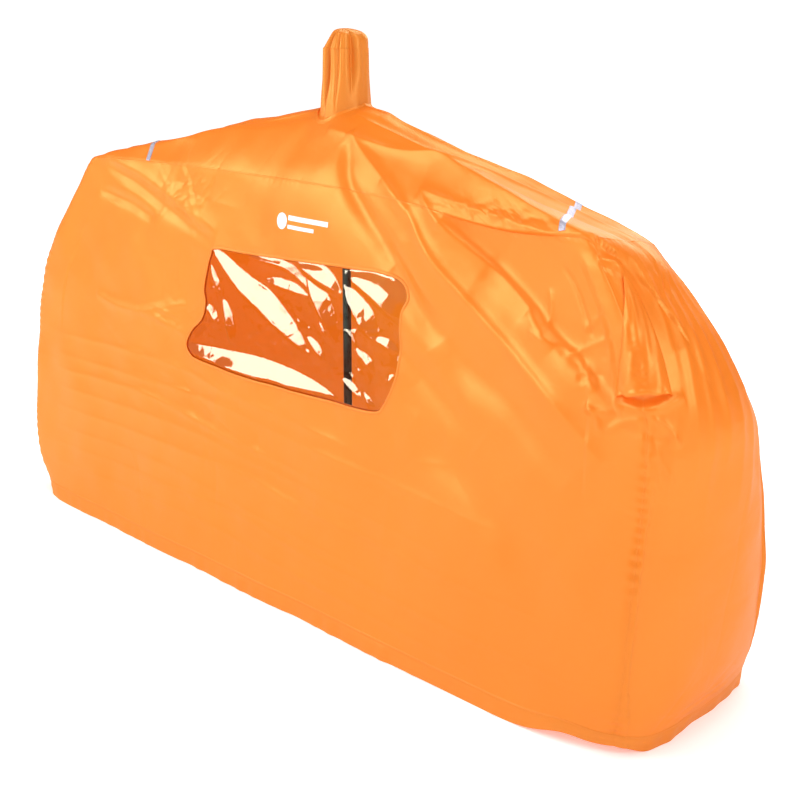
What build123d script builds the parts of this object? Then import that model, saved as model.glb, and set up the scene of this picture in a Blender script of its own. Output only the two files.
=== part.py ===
from build123d import *
import os

# Two-person emergency group shelter: a bottomless fabric shelter over one telescopic support pole.
# Millimetres, +Z up. X runs along the shelter, the window side faces -Y, and the origin is on the
# ground at the middle of the base, on the pole's axis.

# ---------------------------------------------------------------- driving dimensions
hem_half_width = 185.0
shoulder_height = 655.0
shoulder_half_width = 75.0
roof_height = 785.0
chimney_height = 905.0
fabric = 1.5
film = 0.5
tape = 1.0
bond = 0.03                 # glue line between pieces that are fixed together
slide_gap = 0.05            # radial running clearance of tubes and pins

# End outline at four heights: (height, x of the panel corner, how far the end bows out beyond it)
end_levels = [
    (0.0, 690.0, 25.0),
    (200.0, 712.0, 70.0),
    (440.0, 708.0, 45.0),
    (shoulder_height, 585.0, 20.0),
]

window_width = 480.0
window_height = 200.0
window_middle_z = 460.0
window_corner = 34.0
window_margin = 14.0

hem_channel_height = 28.0
seam_width = 12.0
seam_clearance = 4.5        # seam tapes stop this far inside the panels' edges
strip_x = 480.0
strip_width = 13.0

print_z = 610.0             # lower edge of the printed mark
print_disc_x = -28.0
print_disc_radius = 13.0
print_bars = [(38.0, 20.0, 90.0, 8.0), (23.0, 6.0, 60.0, 6.0)]  # middle x, height, length, width
ink = 0.3

eyelet_x = (-560.0, -600.0)
eyelet_radius = 6.0
eyelet_bore = 3.0
eyelet_thickness = 1.5

vent_top_z = 628.0
vent_mouth_z = 478.0
vent_top_size = (20.0, 6.0)     # half span and half depth of the hood's sewn end
vent_mouth_size = (40.0, 14.0)  # the same at its open end
vent_gap = 1.0                  # between the hood and the corner that it wraps
vent_heading = (0.6, -0.8, 0.0)

roof_top_corner = 60.0
roof_top_half_width = 48.0
roof_top_bow = 12.0
chimney_base_radius = 40.0
chimney_neck_radius = 35.0
chimney_crown_radius = 24.0
chimney_neck_z = 885.0

seat_length = 300.0
seat_half_width = 135.0
seat_hinge_x = 680.0
seat_thickness = 2.0
seat_corner = 40.0

upper_tube_radius = 8.0
middle_tube_radius = 7.0
lower_tube_radius = 6.0
tube_wall = 0.8
upper_lock_z = 565.0
lower_lock_z = 270.0
tube_insert = 90.0          # how far each tube reaches into the one above it

lock_height = 26.0
lock_radius = 11.0
lug_height = 4.0
lug_radius = 3.0
pin_radius = 1.5
pin_x = -15.0
ear_y = 15.0                # middle of the clamp's screw
ear_size = 12.0             # the clamp ears' width and height
ear_depth = 10.0
split_width = 2.0
screw_head = 2.0
lever_gap = 0.7             # between the clamp and the lever's arm
lever_outer = 14.6
lever_short = 9.0           # how much shorter the lever is than the clamp
thumb_tab = 5.0

grip_bottom_z = 765.0
grip_profile = [(0, 13), (14, 15.5), (36, 14), (60, 16), (84, 14.5), (108, 16.5), (125, 18)]
grip_top_z = grip_bottom_z + grip_profile[-1][0]
cap_radius = 19.0
cap_round = 8.0
cap_top_z = 902.5

bush_head = 14.0
bush_spigot = 16.0

basket_z = 60.0
basket_radius = 25.0
basket_thickness = 3.0
basket_hub = 10.0
basket_holes = 6
hole_radius = 4.0
hub_below = 4.0
hub_above = 8.0
ferrule_radius = 8.0
ferrule_top_z = 72.0
ferrule_nose_z = 14.0
ferrule_nose_radius = 5.0
tube_seat = 16.0            # how far below the basket the lower tube meets the steel tip
tip_radius = 2.5
point_height = 4.0

os.makedirs("parts", exist_ok=True)


# ---------------------------------------------------------------- shared geometry
def half_width(z):
    """Half the width between the outer faces of the two side panels at a height."""
    return hem_half_width - (hem_half_width - shoulder_half_width) * z / shoulder_height


def end_at(z):
    """Corner x and bow of the end panel at a height, straight between the stated levels."""
    for low, high in zip(end_levels, end_levels[1:]):
        if low[0] <= z <= high[0]:
            share = (z - low[0]) / (high[0] - low[0])
            return [low[i] + share * (high[i] - low[i]) for i in (1, 2)]


def side_sheet(points_xz, offset, thickness):
    """Flat sheet parallel to the front panel, from an outline in x and z.

    offset is how far its outer face lies inside the panel's outer face, measured along Y.
    """
    corners = [(x, offset - half_width(z), z) for x, z in points_xz]
    outline = make_face(Polyline(*corners, close=True))
    return extrude(outline, amount=thickness, dir=(0, 1, 0))


def panel_outline():
    right = [(x, z) for z, x, bow in end_levels]
    left = [(-x, z) for z, x, bow in reversed(end_levels)]
    return right + left


def prism_y(sketch, middle_z):
    """Straight prism along Y over the whole depth, from a sketch drawn in x and z."""
    placed = Plane((0, 0, middle_z), x_dir=(1, 0, 0), z_dir=(0, -1, 0)) * sketch
    return extrude(placed, amount=hem_half_width * 2, both=True)


def window_prism(margin):
    width = window_width + 2 * margin
    height = window_height + 2 * margin
    return prism_y(RectangleRounded(width, height, window_corner + margin), window_middle_z)


def end_section(z, inset, thickness):
    """Slice of the right end's wall at a height: a bowed band between the two side panels."""
    corner, bow = end_at(z)
    y = half_width(z) - fabric - inset
    outer = corner - inset
    inner = outer - thickness
    outer_arc = ThreePointArc((outer, -y, z), (outer + bow, 0, z), (outer, y, z))
    inner_arc = ThreePointArc((inner, y, z), (inner + bow, 0, z), (inner, -y, z))
    back_edge = Line((outer, y, z), (inner, y, z))
    front_edge = Line((inner, -y, z), (outer, -y, z))
    return make_face(outer_arc + back_edge + inner_arc + front_edge)


def end_band(heights, inset, thickness):
    return loft([end_section(z, inset, thickness) for z in heights], ruled=True)


def roof_outline(corner, y, bow, z):
    """Level outline with straight front and back edges and bowed ends."""
    front = Line((-corner, -y, z), (corner, -y, z))
    right = ThreePointArc((corner, -y, z), (corner + bow, 0, z), (corner, y, z))
    back = Line((corner, y, z), (-corner, y, z))
    left = ThreePointArc((-corner, y, z), (-corner - bow, 0, z), (-corner, -y, z))
    return make_face(front + right + back + left)


def roof_block(inset):
    """Solid under the roof's outer face, drawn in by inset."""
    shoulder_corner, shoulder_bow = end_at(shoulder_height)
    eave = roof_outline(
        shoulder_corner - inset, shoulder_half_width - inset, shoulder_bow, shoulder_height
    )
    top = roof_outline(
        roof_top_corner - inset, roof_top_half_width - inset, roof_top_bow, roof_height - inset
    )
    return loft([eave, top], ruled=True)


def disc(radius, z0, z1):
    return Pos(0, 0, z0) * Cylinder(radius, z1 - z0, align=(Align.CENTER, Align.CENTER, Align.MIN))


def ring(outer, inner, z0, z1):
    return disc(outer, z0, z1) - disc(inner, z0, z1)


def cone(bottom, top, z0, z1):
    return Pos(0, 0, z0) * Cone(bottom, top, z1 - z0, align=(Align.CENTER, Align.CENTER, Align.MIN))


def to_left(shape):
    return mirror(shape, Plane.YZ)


def to_back(shape):
    return mirror(shape, Plane.XZ)


# ---------------------------------------------------------------- shelter fabric
def front_panel():
    return side_sheet(panel_outline(), 0, fabric) - window_prism(0)


def back_panel():
    return to_back(side_sheet(panel_outline(), 0, fabric))


def right_end_panel():
    return end_band([level[0] for level in end_levels], 0, fabric)


def roof_panel():
    bore = disc(chimney_base_radius - fabric, shoulder_height, roof_height)
    return roof_block(0) - roof_block(fabric) - bore


def chimney_tube():
    outer = cone(chimney_base_radius, chimney_neck_radius, roof_height, chimney_neck_z)
    inner = cone(
        chimney_base_radius - fabric, chimney_neck_radius - fabric, roof_height, chimney_neck_z
    )
    return outer - inner


def chimney_crown():
    outer = cone(chimney_neck_radius, chimney_crown_radius, chimney_neck_z, chimney_height)
    inner = cone(
        chimney_neck_radius - fabric,
        chimney_crown_radius - fabric,
        chimney_neck_z,
        chimney_height - fabric,
    )
    return outer - inner


def chimney_seam():
    seam_radius = chimney_base_radius + 5
    return ring(seam_radius, chimney_base_radius + bond, roof_height, roof_height + 2)


def apex_patch():
    patch_radius = roof_top_half_width - 3
    patch_top = roof_height - fabric
    return ring(patch_radius, chimney_base_radius - fabric, patch_top - tape, patch_top)


def reflective_strip():
    """Tape over the roof from eave to eave, near the right shoulder."""
    skin = roof_block(-tape) - roof_block(0)
    slab = Pos(strip_x, 0, roof_height) * Box(strip_width, hem_half_width * 2, roof_height)
    return skin & slab


# ---------------------------------------------------------------- window and print
def window_film():
    return side_sheet(panel_outline(), fabric, film) & window_prism(window_margin)


def window_binding():
    border = window_prism(window_margin) - window_prism(-3)
    return side_sheet(panel_outline(), fabric + film, tape) & border


def front_print():
    """Plain disc beside two bars, printed above the window."""
    mark = Pos(print_disc_x, print_disc_radius) * Circle(print_disc_radius)
    for middle_x, height, length, width in print_bars:
        mark += Pos(middle_x, height) * Rectangle(length, width)
    return side_sheet(panel_outline(), -ink, ink) & prism_y(mark, print_z)


# ---------------------------------------------------------------- seams and hem
def corner_seam():
    """Seam tape up the front panel's right edge, inside."""
    outer_edge = [(x - seam_clearance, z) for z, x, bow in end_levels]
    inner_edge = [(x - seam_width, z) for x, z in reversed(outer_edge)]
    strip = side_sheet(outer_edge + inner_edge, fabric, tape)
    above_hem = hem_channel_height + tape
    below_eave = shoulder_height - seam_width - tape
    reach = end_levels[1][1] * 3
    keep = Box(reach, reach, below_eave - above_hem, align=(Align.CENTER, Align.CENTER, Align.MIN))
    return strip & (Pos(0, 0, above_hem) * keep)


def eave_seam():
    """Seam tape along the front panel's top edge, inside."""
    reach = end_at(shoulder_height)[0] - seam_clearance
    low = shoulder_height - seam_width
    corners = [(-reach, low), (reach, low), (reach, shoulder_height), (-reach, shoulder_height)]
    return side_sheet(corners, fabric, tape)


def shoulder_seam():
    """Seam tape round the inside of the right end panel's top edge."""
    low = shoulder_height - seam_width
    return end_band([low, shoulder_height - bond], fabric + tape * 2, tape)


def front_hem_channel():
    reach = end_at(0)[0] - seam_clearance
    corners = [(-reach, 0), (reach, 0), (reach, hem_channel_height), (-reach, hem_channel_height)]
    return side_sheet(corners, fabric, tape)


def right_hem_channel():
    return end_band([0, hem_channel_height], fabric + tape, tape)


def drawcord_eyelets():
    """Two ring eyelets on the back hem channel near the left end; the cord is not fitted."""
    eyelet_z = hem_channel_height / 2
    depth = half_width(eyelet_z) - fabric - tape - bond
    inward = (0, -shoulder_height, shoulder_half_width - hem_half_width)
    eyelet = Cylinder(eyelet_radius, eyelet_thickness) - Cylinder(eyelet_bore, eyelet_thickness)
    raised = Pos(0, 0, eyelet_thickness / 2 + bond) * eyelet
    faces = [Plane((x, depth, eyelet_z), x_dir=(1, 0, 0), z_dir=inward) for x in eyelet_x]
    return Compound(children=[face * raised for face in faces])


# ---------------------------------------------------------------- corner vent
def corner_point(z):
    """Point on the outer edge where the front and right end panels meet."""
    return Vector(end_at(z)[0], -half_width(z), z)


def vent_ring(share, wall):
    """Oval slice of the vent hood; share runs from 0 at its sewn top to 1 at its open mouth."""
    top = corner_point(vent_top_z)
    mouth = corner_point(vent_mouth_z)
    half_span, half_depth = [
        small + (large - small) * share for small, large in zip(vent_top_size, vent_mouth_size)
    ]
    down = (mouth - top).normalized()
    heading = Vector(*vent_heading)
    outward = (heading - down * down.dot(heading)).normalized()
    centre = top + (mouth - top) * share + outward * (half_depth + vent_gap)
    section = Plane(centre, x_dir=down.cross(outward), z_dir=down)
    return section * Ellipse(half_span - wall, half_depth - wall)


def side_vent_hood():
    """Flattened sleeve down the corner, closed at its top and open at its mouth."""
    closed_share = 0.06
    outer = loft([vent_ring(0, 0), vent_ring(1, 0)], ruled=True)
    inner = loft([vent_ring(closed_share, fabric), vent_ring(1, fabric)], ruled=True)
    return outer - inner


# ---------------------------------------------------------------- seat flaps
def right_seat_panel():
    """Flap that is sat on, hinged along the end hem and lying on the ground."""
    middle = seat_hinge_x - seat_length / 2
    flap = Pos(middle, 0, seat_thickness / 2) * Box(seat_length, seat_half_width * 2, seat_thickness)
    corners = flap.edges().filter_by(Axis.Z).sort_by(Axis.X)[:2]
    return fillet(corners, seat_corner)


# ---------------------------------------------------------------- support pole
def tube(outer, z0, z1):
    return ring(outer, outer - tube_wall, z0, z1)


def guide_bush(bore, inner_tube, tube_top):
    """Plastic plug on an inner tube's top end, which guides it in the tube above."""
    head = disc(bore - slide_gap, tube_top, tube_top + bush_head)
    spigot = disc(inner_tube - tube_wall - bond, tube_top - bush_spigot, tube_top)
    return head + spigot


def pole_grip():
    outer = Spline(*[(radius, 0, grip_bottom_z + height) for height, radius in grip_profile])
    bore_radius = upper_tube_radius + bond
    top_edge = Line(outer @ 1, (bore_radius, 0, grip_top_z))
    inner_edge = Line((bore_radius, 0, grip_top_z), (bore_radius, 0, grip_bottom_z))
    bottom_edge = Line((bore_radius, 0, grip_bottom_z), outer @ 0)
    return revolve(make_face(outer + top_edge + inner_edge + bottom_edge), Axis.Z)


def grip_cap():
    knob = disc(cap_radius, grip_top_z, cap_top_z)
    return fillet(knob.edges().sort_by(Axis.Z)[-1], cap_round)


def lock_clamp(outer_tube, z):
    """Split collar round a tube's lower end, with a clevis for the lever and ears for the screw."""
    low = z - lock_height / 2
    high = z + lock_height / 2
    body = disc(lock_radius, low, high)
    for lug_low in (low, high - lug_height):
        lug_z = lug_low + lug_height / 2
        body += Pos(pin_x + lug_radius, 0, lug_z) * Box(lug_radius * 2, lug_radius * 2, lug_height)
        body += Pos(pin_x, 0, lug_z) * Cylinder(lug_radius, lug_height)
    body += Pos(0, ear_y - 1, z) * Box(ear_size, ear_depth, ear_size)
    body -= Pos(0, ear_y, z) * Box(split_width, ear_depth * 2, lock_height * 2)
    body -= Pos(0, ear_y, z) * Rot(0, 90, 0) * Cylinder(pin_radius + bond, ear_size)
    body -= Pos(pin_x, 0, z) * Cylinder(pin_radius + bond, lock_height * 2)
    return body - disc(outer_tube + bond, low, high)


def lock_lever(z):
    """Lever that wraps half round the clamp and swings on a pin parallel to the pole."""
    height = lock_height - lever_short
    low = z - height / 2
    high = z + height / 2
    arm = ring(lever_outer, lock_radius + lever_gap, low, high)
    arm &= Pos(0, -lever_outer, z) * Box(lever_outer * 4, lever_outer * 2, height)
    arm += Pos(pin_x, 0, z) * Cylinder(lug_radius, height)
    arm += Pos(lever_outer, -thumb_tab / 2, z) * Box(thumb_tab, thumb_tab, height)
    return arm - Pos(pin_x, 0, z) * Cylinder(pin_radius + slide_gap, height)


def lock_pin(z):
    return Pos(pin_x, 0, z) * Cylinder(pin_radius, lock_height)


def lock_screw(z):
    shank = Pos(0, ear_y, z) * Rot(0, 90, 0) * Cylinder(pin_radius, ear_size)
    head_x = (ear_size + screw_head) / 2
    head = Pos(head_x, ear_y, z) * Rot(0, 90, 0) * Cylinder(pin_radius * 2, screw_head)
    return shank + head


def basket():
    """Flat basket with a ring of holes round a hub, pushed over the ferrule."""
    plate = disc(basket_radius, basket_z, basket_z + basket_thickness)
    for turn in range(basket_holes):
        angle = turn * 360 / basket_holes
        hole = Pos(basket_radius - hole_radius * 2, 0, 0) * disc(
            hole_radius, basket_z, basket_z + basket_thickness
        )
        plate -= Rot(0, 0, angle) * hole
    hub = disc(basket_hub, basket_z - hub_below, basket_z + hub_above)
    return plate + hub - disc(ferrule_radius + bond, 0, ferrule_top_z)


def tip_ferrule():
    """Plastic end of the pole, which holds the steel tip and grips the lower tube."""
    shoulder_z = basket_z - hub_below * 1.5
    seat_z = basket_z - tube_seat
    shell = cone(ferrule_nose_radius, ferrule_radius, ferrule_nose_z, shoulder_z)
    shell += disc(ferrule_radius, shoulder_z, ferrule_top_z)
    shell -= disc(lower_tube_radius + bond, seat_z, ferrule_top_z)
    return shell - disc(tip_radius + bond, 0, seat_z)


def ground_tip():
    point = cone(tip_radius / 2, tip_radius, 0, point_height)
    return point + disc(tip_radius, point_height, basket_z - tube_seat - bond)


# ---------------------------------------------------------------- build and write
upper_tube_bottom = upper_lock_z - lock_height / 2
middle_tube_bottom = lower_lock_z - lock_height / 2
middle_tube_top = upper_tube_bottom + tube_insert
lower_tube_top = middle_tube_bottom + tube_insert

parts = {
    "front_panel": front_panel(),
    "back_panel": back_panel(),
    "right_end_panel": right_end_panel(),
    "left_end_panel": to_left(right_end_panel()),
    "roof_panel": roof_panel(),
    "chimney_tube": chimney_tube(),
    "chimney_crown": chimney_crown(),
    "chimney_seam": chimney_seam(),
    "apex_patch": apex_patch(),
    "right_reflective_strip": reflective_strip(),
    "left_reflective_strip": to_left(reflective_strip()),
    "window_film": window_film(),
    "window_binding": window_binding(),
    "front_print": front_print(),
    "front_right_corner_seam": corner_seam(),
    "front_left_corner_seam": to_left(corner_seam()),
    "back_right_corner_seam": to_back(corner_seam()),
    "back_left_corner_seam": to_left(to_back(corner_seam())),
    "front_eave_seam": eave_seam(),
    "back_eave_seam": to_back(eave_seam()),
    "right_shoulder_seam": shoulder_seam(),
    "left_shoulder_seam": to_left(shoulder_seam()),
    "front_hem_channel": front_hem_channel(),
    "back_hem_channel": to_back(front_hem_channel()),
    "right_hem_channel": right_hem_channel(),
    "left_hem_channel": to_left(right_hem_channel()),
    "drawcord_eyelets": drawcord_eyelets(),
    "side_vent_hood": side_vent_hood(),
    "right_seat_panel": right_seat_panel(),
    "left_seat_panel": to_left(right_seat_panel()),
    "pole_grip": pole_grip(),
    "grip_cap": grip_cap(),
    "upper_tube": tube(upper_tube_radius, upper_tube_bottom, grip_top_z - bond),
    "upper_lock_clamp": lock_clamp(upper_tube_radius, upper_lock_z),
    "upper_lock_lever": lock_lever(upper_lock_z),
    "upper_lock_pin": lock_pin(upper_lock_z),
    "upper_lock_screw": lock_screw(upper_lock_z),
    "middle_tube": tube(middle_tube_radius, middle_tube_bottom, middle_tube_top),
    "middle_guide_bush": guide_bush(
        upper_tube_radius - tube_wall, middle_tube_radius, middle_tube_top
    ),
    "lower_lock_clamp": lock_clamp(middle_tube_radius, lower_lock_z),
    "lower_lock_lever": lock_lever(lower_lock_z),
    "lower_lock_pin": lock_pin(lower_lock_z),
    "lower_lock_screw": lock_screw(lower_lock_z),
    "lower_tube": tube(lower_tube_radius, basket_z - tube_seat + bond, lower_tube_top),
    "lower_guide_bush": guide_bush(
        middle_tube_radius - tube_wall, lower_tube_radius, lower_tube_top
    ),
    "basket": basket(),
    "tip_ferrule": tip_ferrule(),
    "ground_tip": ground_tip(),
}

for name, shape in parts.items():
    export_step(shape, f"parts/{name}.step")
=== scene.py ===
"""Looks of a two-person group shelter: nylon panels, clear window, chimney, corner vent and pole.

Metres, +Z up, window side towards -Y. The overall sizes come from the boxes of the frame's nodes. The
profiles of the walls, the routes of the folds and the bands of the film are places in metres, fitted to one
example of the object, so they do not follow the frame if its size changes. The shelter's cloth is one grid
of loops, from the hem up the walls and over the roof to the chimney, which is folded and creased as a
whole and then cut at its seams into separate sheets. The folds are drawn by formulas, and no cloth is
simulated.
"""

import math

import bpy
import numpy as np
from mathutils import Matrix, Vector
from mathutils.bvhtree import BVHTree


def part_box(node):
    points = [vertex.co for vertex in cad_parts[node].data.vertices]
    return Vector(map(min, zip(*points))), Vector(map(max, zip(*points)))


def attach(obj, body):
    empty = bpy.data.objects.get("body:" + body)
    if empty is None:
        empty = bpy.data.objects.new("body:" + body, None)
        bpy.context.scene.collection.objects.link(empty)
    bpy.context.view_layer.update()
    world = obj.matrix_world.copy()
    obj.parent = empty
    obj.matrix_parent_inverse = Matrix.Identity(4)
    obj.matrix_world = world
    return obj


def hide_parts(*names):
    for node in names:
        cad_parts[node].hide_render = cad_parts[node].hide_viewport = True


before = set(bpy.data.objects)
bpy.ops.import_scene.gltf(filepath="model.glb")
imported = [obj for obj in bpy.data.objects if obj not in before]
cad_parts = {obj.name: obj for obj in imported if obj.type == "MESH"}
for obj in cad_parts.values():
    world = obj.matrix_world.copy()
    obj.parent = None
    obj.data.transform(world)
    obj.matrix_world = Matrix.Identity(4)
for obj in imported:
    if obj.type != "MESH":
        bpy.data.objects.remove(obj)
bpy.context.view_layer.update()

# ---------------------------------------------------------------- sizes from the frame
front_low, front_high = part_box("front_panel")
roof_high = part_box("roof_panel")[1]
crown_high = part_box("chimney_crown")[1]
tube_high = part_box("chimney_tube")[1]
crown_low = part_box("chimney_crown")[0]
hem_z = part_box("front_hem_channel")[1].z
strip_low, strip_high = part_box("right_reflective_strip")
print_low, print_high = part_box("front_print")
seat_low, seat_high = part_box("right_seat_panel")

base_half = -front_low.y
shoulder_z = front_high.z
roof_z = roof_high.z
chimney_z = crown_high.z
chimney_radius = tube_high.x
slope = 0.127  # how far the long walls lean in, per metre of height

# ---------------------------------------------------------------- the loops' columns and rows
FRONT_COLUMNS = 460
END_COLUMNS = 160
BACK_COLUMNS = 320
LEFT_COLUMNS = 140
WALL_ROWS = 220
ROOF_ROWS = 84

CORNERS = np.cumsum([0, FRONT_COLUMNS, END_COLUMNS, BACK_COLUMNS, LEFT_COLUMNS])
COLUMNS = int(CORNERS[-1])
ROWS = WALL_ROWS + ROOF_ROWS + 1
FRONT, RIGHT, BACK, LEFT = [slice(a, b) for a, b in zip(CORNERS, CORNERS[1:])]


def step(value, low, high):
    """0 below low, 1 above high, and a smooth rise between."""
    t = np.clip((value - low) / (high - low), 0, 1)
    return t * t * (3 - 2 * t)


def blur(values, sigma, wrap):
    """Gaussian blur along the first axis; without wrap the two ends stay where they are."""
    reach = int(math.ceil(sigma * 3))
    if wrap:
        padded = np.concatenate([values[-reach:], values, values[:reach]])
    else:
        before = 2 * values[:1] - values[reach:0:-1]
        after = 2 * values[-1:] - values[-2 : -2 - reach : -1]
        padded = np.concatenate([before, values, after])
    out = np.zeros_like(values)
    total = 0.0
    for k in range(2 * reach + 1):
        weight = math.exp(-0.5 * ((k - reach) / sigma) ** 2)
        out += weight * padded[k : k + len(values)]
        total += weight
    return out / total


def profile(shares, pairs):
    """Smooth curve through a few (share, value) pairs."""
    xs, ys = zip(*pairs)
    raw = np.interp(shares, xs, ys)
    return blur(raw, len(raw) / 24, False)


# ---------------------------------------------------------------- the shelter's plain shape
def wall_loops():
    """Loops of the four walls, sharp at the corners: shape (rows, columns, 3)."""
    share = np.linspace(0, 1, WALL_ROWS + 1)
    right_front = profile(
        share, [(0, 0.722), (0.2, 0.728), (0.45, 0.725), (0.68, 0.718), (0.85, 0.668), (1, 0.592)]
    )
    right_back = profile(
        share, [(0, 0.690), (0.1, 0.700), (0.45, 0.706), (0.68, 0.704), (0.85, 0.654), (1, 0.564)]
    )
    left_front = profile(
        share,
        [(0, 0.716), (0.1, 0.754), (0.3, 0.768), (0.55, 0.775), (0.66, 0.760), (0.8, 0.702), (1, 0.611)],
    )
    left_back = left_front - 0.012
    right_bow = profile(
        share,
        [(0, 0.020), (0.1, 0.038), (0.2, 0.044), (0.45, 0.050)]
        + [(0.68, 0.058), (0.80, 0.062), (0.9, 0.046), (1, 0.026)],
    )
    left_bow = right_bow * 0.5
    loops = np.zeros((WALL_ROWS + 1, COLUMNS, 3))
    front_share = np.linspace(0, 1, FRONT_COLUMNS + 1)[:-1]
    front_eave = profile(
        front_share,
        [(0, 0.671), (0.2, 0.682), (0.42, 0.692), (0.56, 0.698)]
        + [(0.72, 0.688), (0.85, 0.664), (0.93, 0.669), (1, 0.677)],
    )
    back_share = np.linspace(0, 1, BACK_COLUMNS + 1)[:-1]
    back_eave = profile(back_share, [(0, 0.636), (0.25, 0.664), (0.5, 0.688), (0.75, 0.674), (1, 0.658)])
    right_top = np.linspace(front_eave[-1], back_eave[0], END_COLUMNS + 1)[:-1]
    left_top = np.linspace(back_eave[-1], front_eave[0], LEFT_COLUMNS + 1)[:-1]
    rise = share[:, None]
    for side, top in ((FRONT, front_eave), (RIGHT, right_top), (BACK, back_eave), (LEFT, left_top)):
        loops[:, side, 2] = rise * top[None, :]
    half = base_half - slope * loops[..., 2]
    for side, start, end, sign in ((FRONT, -left_front, right_front, -1), (BACK, right_back, -left_back, 1)):
        along = np.linspace(0, 1, side.stop - side.start + 1)[:-1]
        loops[:, side, 0] = start[:, None] + (end - start)[:, None] * along
        loops[:, side, 1] = sign * half[:, side]
    ends = ((RIGHT, right_front, right_back, right_bow, 1), (LEFT, -left_back, -left_front, left_bow, -1))
    for side, start, end, bow, sign in ends:
        along = np.linspace(0, 1, side.stop - side.start + 1)[:-1]
        across = (2 * along - 1) * sign
        loops[:, side, 0] = start[:, None] + (end - start)[:, None] * along
        loops[:, side, 0] += sign * bow[:, None] * (1 - np.abs(across) ** 2.3)
        loops[:, side, 1] = half[:, side] * across
    far = step(loops[..., 1], 0.0, 0.08) * step(rise, 0.6, 1.0) * step(np.abs(loops[..., 0]), 0.30, 0.60)
    loops[..., 1] *= 1 - 0.40 * far
    return loops


def roof_loops(eave):
    """Loops from the eave to the chimney's base ring."""
    angle = np.arctan2(eave[:, 1] * 4.0, eave[:, 0])
    lengthwise = np.cos(angle)
    ring_z = roof_z + 0.013 * np.abs(lengthwise) ** 1.3
    ring = np.stack([chimney_radius * lengthwise, chimney_radius * np.sin(angle), ring_z], 1)
    share = np.linspace(0, 1, ROOF_ROWS + 1)[1:, None, None]
    loops = eave + (ring - eave) * share
    swell = 0.009 * np.clip(eave[:, 0] / 0.6, 0, 1)
    loops[..., 2] += 4 * share[..., 0] * (1 - share[..., 0]) * swell
    return loops


def rounded(loops):
    """Rounds the corners, most at the hem and at the right back, and the edge between walls and roof."""
    across = loops.transpose(1, 0, 2)
    tight, loose, round_ = [blur(across, sigma, True).transpose(1, 0, 2) for sigma in (3.5, 9.0, 17.0)]
    height = np.linspace(0, 1, ROWS)[:, None, None]
    column = np.arange(COLUMNS)[None, :, None]
    low = 1 - step(height, 0.0, 0.14)
    high = step(height, 0.50, 0.72)
    back = np.exp(-(((column - CORNERS[2]) / 45.0) ** 2))
    softness = np.maximum(np.maximum(low * 1.8, high * 0.5), back * 1.1)
    loops = tight + (loose - tight) * np.clip(softness, 0, 1)
    loops = loops + (round_ - loops) * np.clip(softness - 1, 0, 1)
    eased = blur(loops, 2.2, False)
    more = blur(loops, 12.0, False)
    middle = np.exp(-((loops[..., 0:1] - 0.06) / 0.22) ** 2) * (loops[..., 1:2] < 0)
    return eased + (more - eased) * middle


def surface_normals(points):
    """Outward unit normals of a closed grid of loops."""
    around = np.roll(points, -1, 1) - np.roll(points, 1, 1)
    upward = np.gradient(points, axis=0)
    normal = np.cross(around, upward)
    return normal / np.maximum(np.linalg.norm(normal, axis=-1, keepdims=True), 1e-12)


# ---------------------------------------------------------------- folds and creases
def smooth_route(route, count=24):
    """Points along a smooth curve through a route's few points."""
    p = np.array(route, float)
    p = np.concatenate([2 * p[:1] - p[1:2], p, 2 * p[-1:] - p[-2:-1]])
    out = []
    for t in np.linspace(0, len(route) - 1, count):
        k = min(int(t), len(route) - 2)
        s = t - k
        a, b, c, d = p[k : k + 4]
        out.append(
            0.5 * (2 * b + (c - a) * s + (2 * a - 5 * b + 4 * c - d) * s * s + (3 * b - a - 3 * c + d) * s**3)
        )
    return np.array(out)


def fold(height, u, v, route, depth, width, form="round", spread=1.0, lean=1.0, where=None):
    """Adds a ridge, or a valley if depth is negative, along a route in the u, v plane.

    width is its half width at the start and spread times that at the end. It fades out at both ends. A
    crest is taut cloth with a narrow top, sharp is a crease, and lean narrows the side left of the route.
    """
    line = smooth_route(route) if len(route) > 2 else np.linspace(route[0], route[1], 4)
    reach = width * max(1.0, spread) * 4
    low, high = line.min(0) - reach, line.max(0) + reach
    near = (u > low[0]) & (u < high[0]) & (v > low[1]) & (v < high[1])
    if where is not None:
        near &= where
    point = np.stack([u[near], v[near]], -1)
    best = np.full(len(point), 1e9)
    share = np.zeros(len(point))
    left_of = np.zeros(len(point), bool)
    for k in range(len(line) - 1):
        a, d = line[k], line[k + 1] - line[k]
        offset = point - a
        t = np.clip((offset @ d) / (d @ d), 0, 1)
        gap = np.linalg.norm(offset - t[:, None] * d, axis=1)
        closer = gap < best
        best[closer] = gap[closer]
        share[closer] = (k + t[closer]) / (len(line) - 1)
        left_of[closer] = (d[0] * offset[:, 1] - d[1] * offset[:, 0])[closer] > 0
    local = best / (width * (1 + (spread - 1) * share)) * np.where(left_of, lean, 1.0)
    if form == "sharp":
        shape = np.exp(-local)
    elif form == "crest":
        shape = np.exp(-1.3 * (np.sqrt(local**2 + 0.06) - 0.245))
    else:
        shape = np.exp(-(local**2))
    fade = np.clip(np.minimum(share, 1 - share) / 0.22, 0, 1)
    height[near] += depth * shape * np.sqrt(fade)


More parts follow.
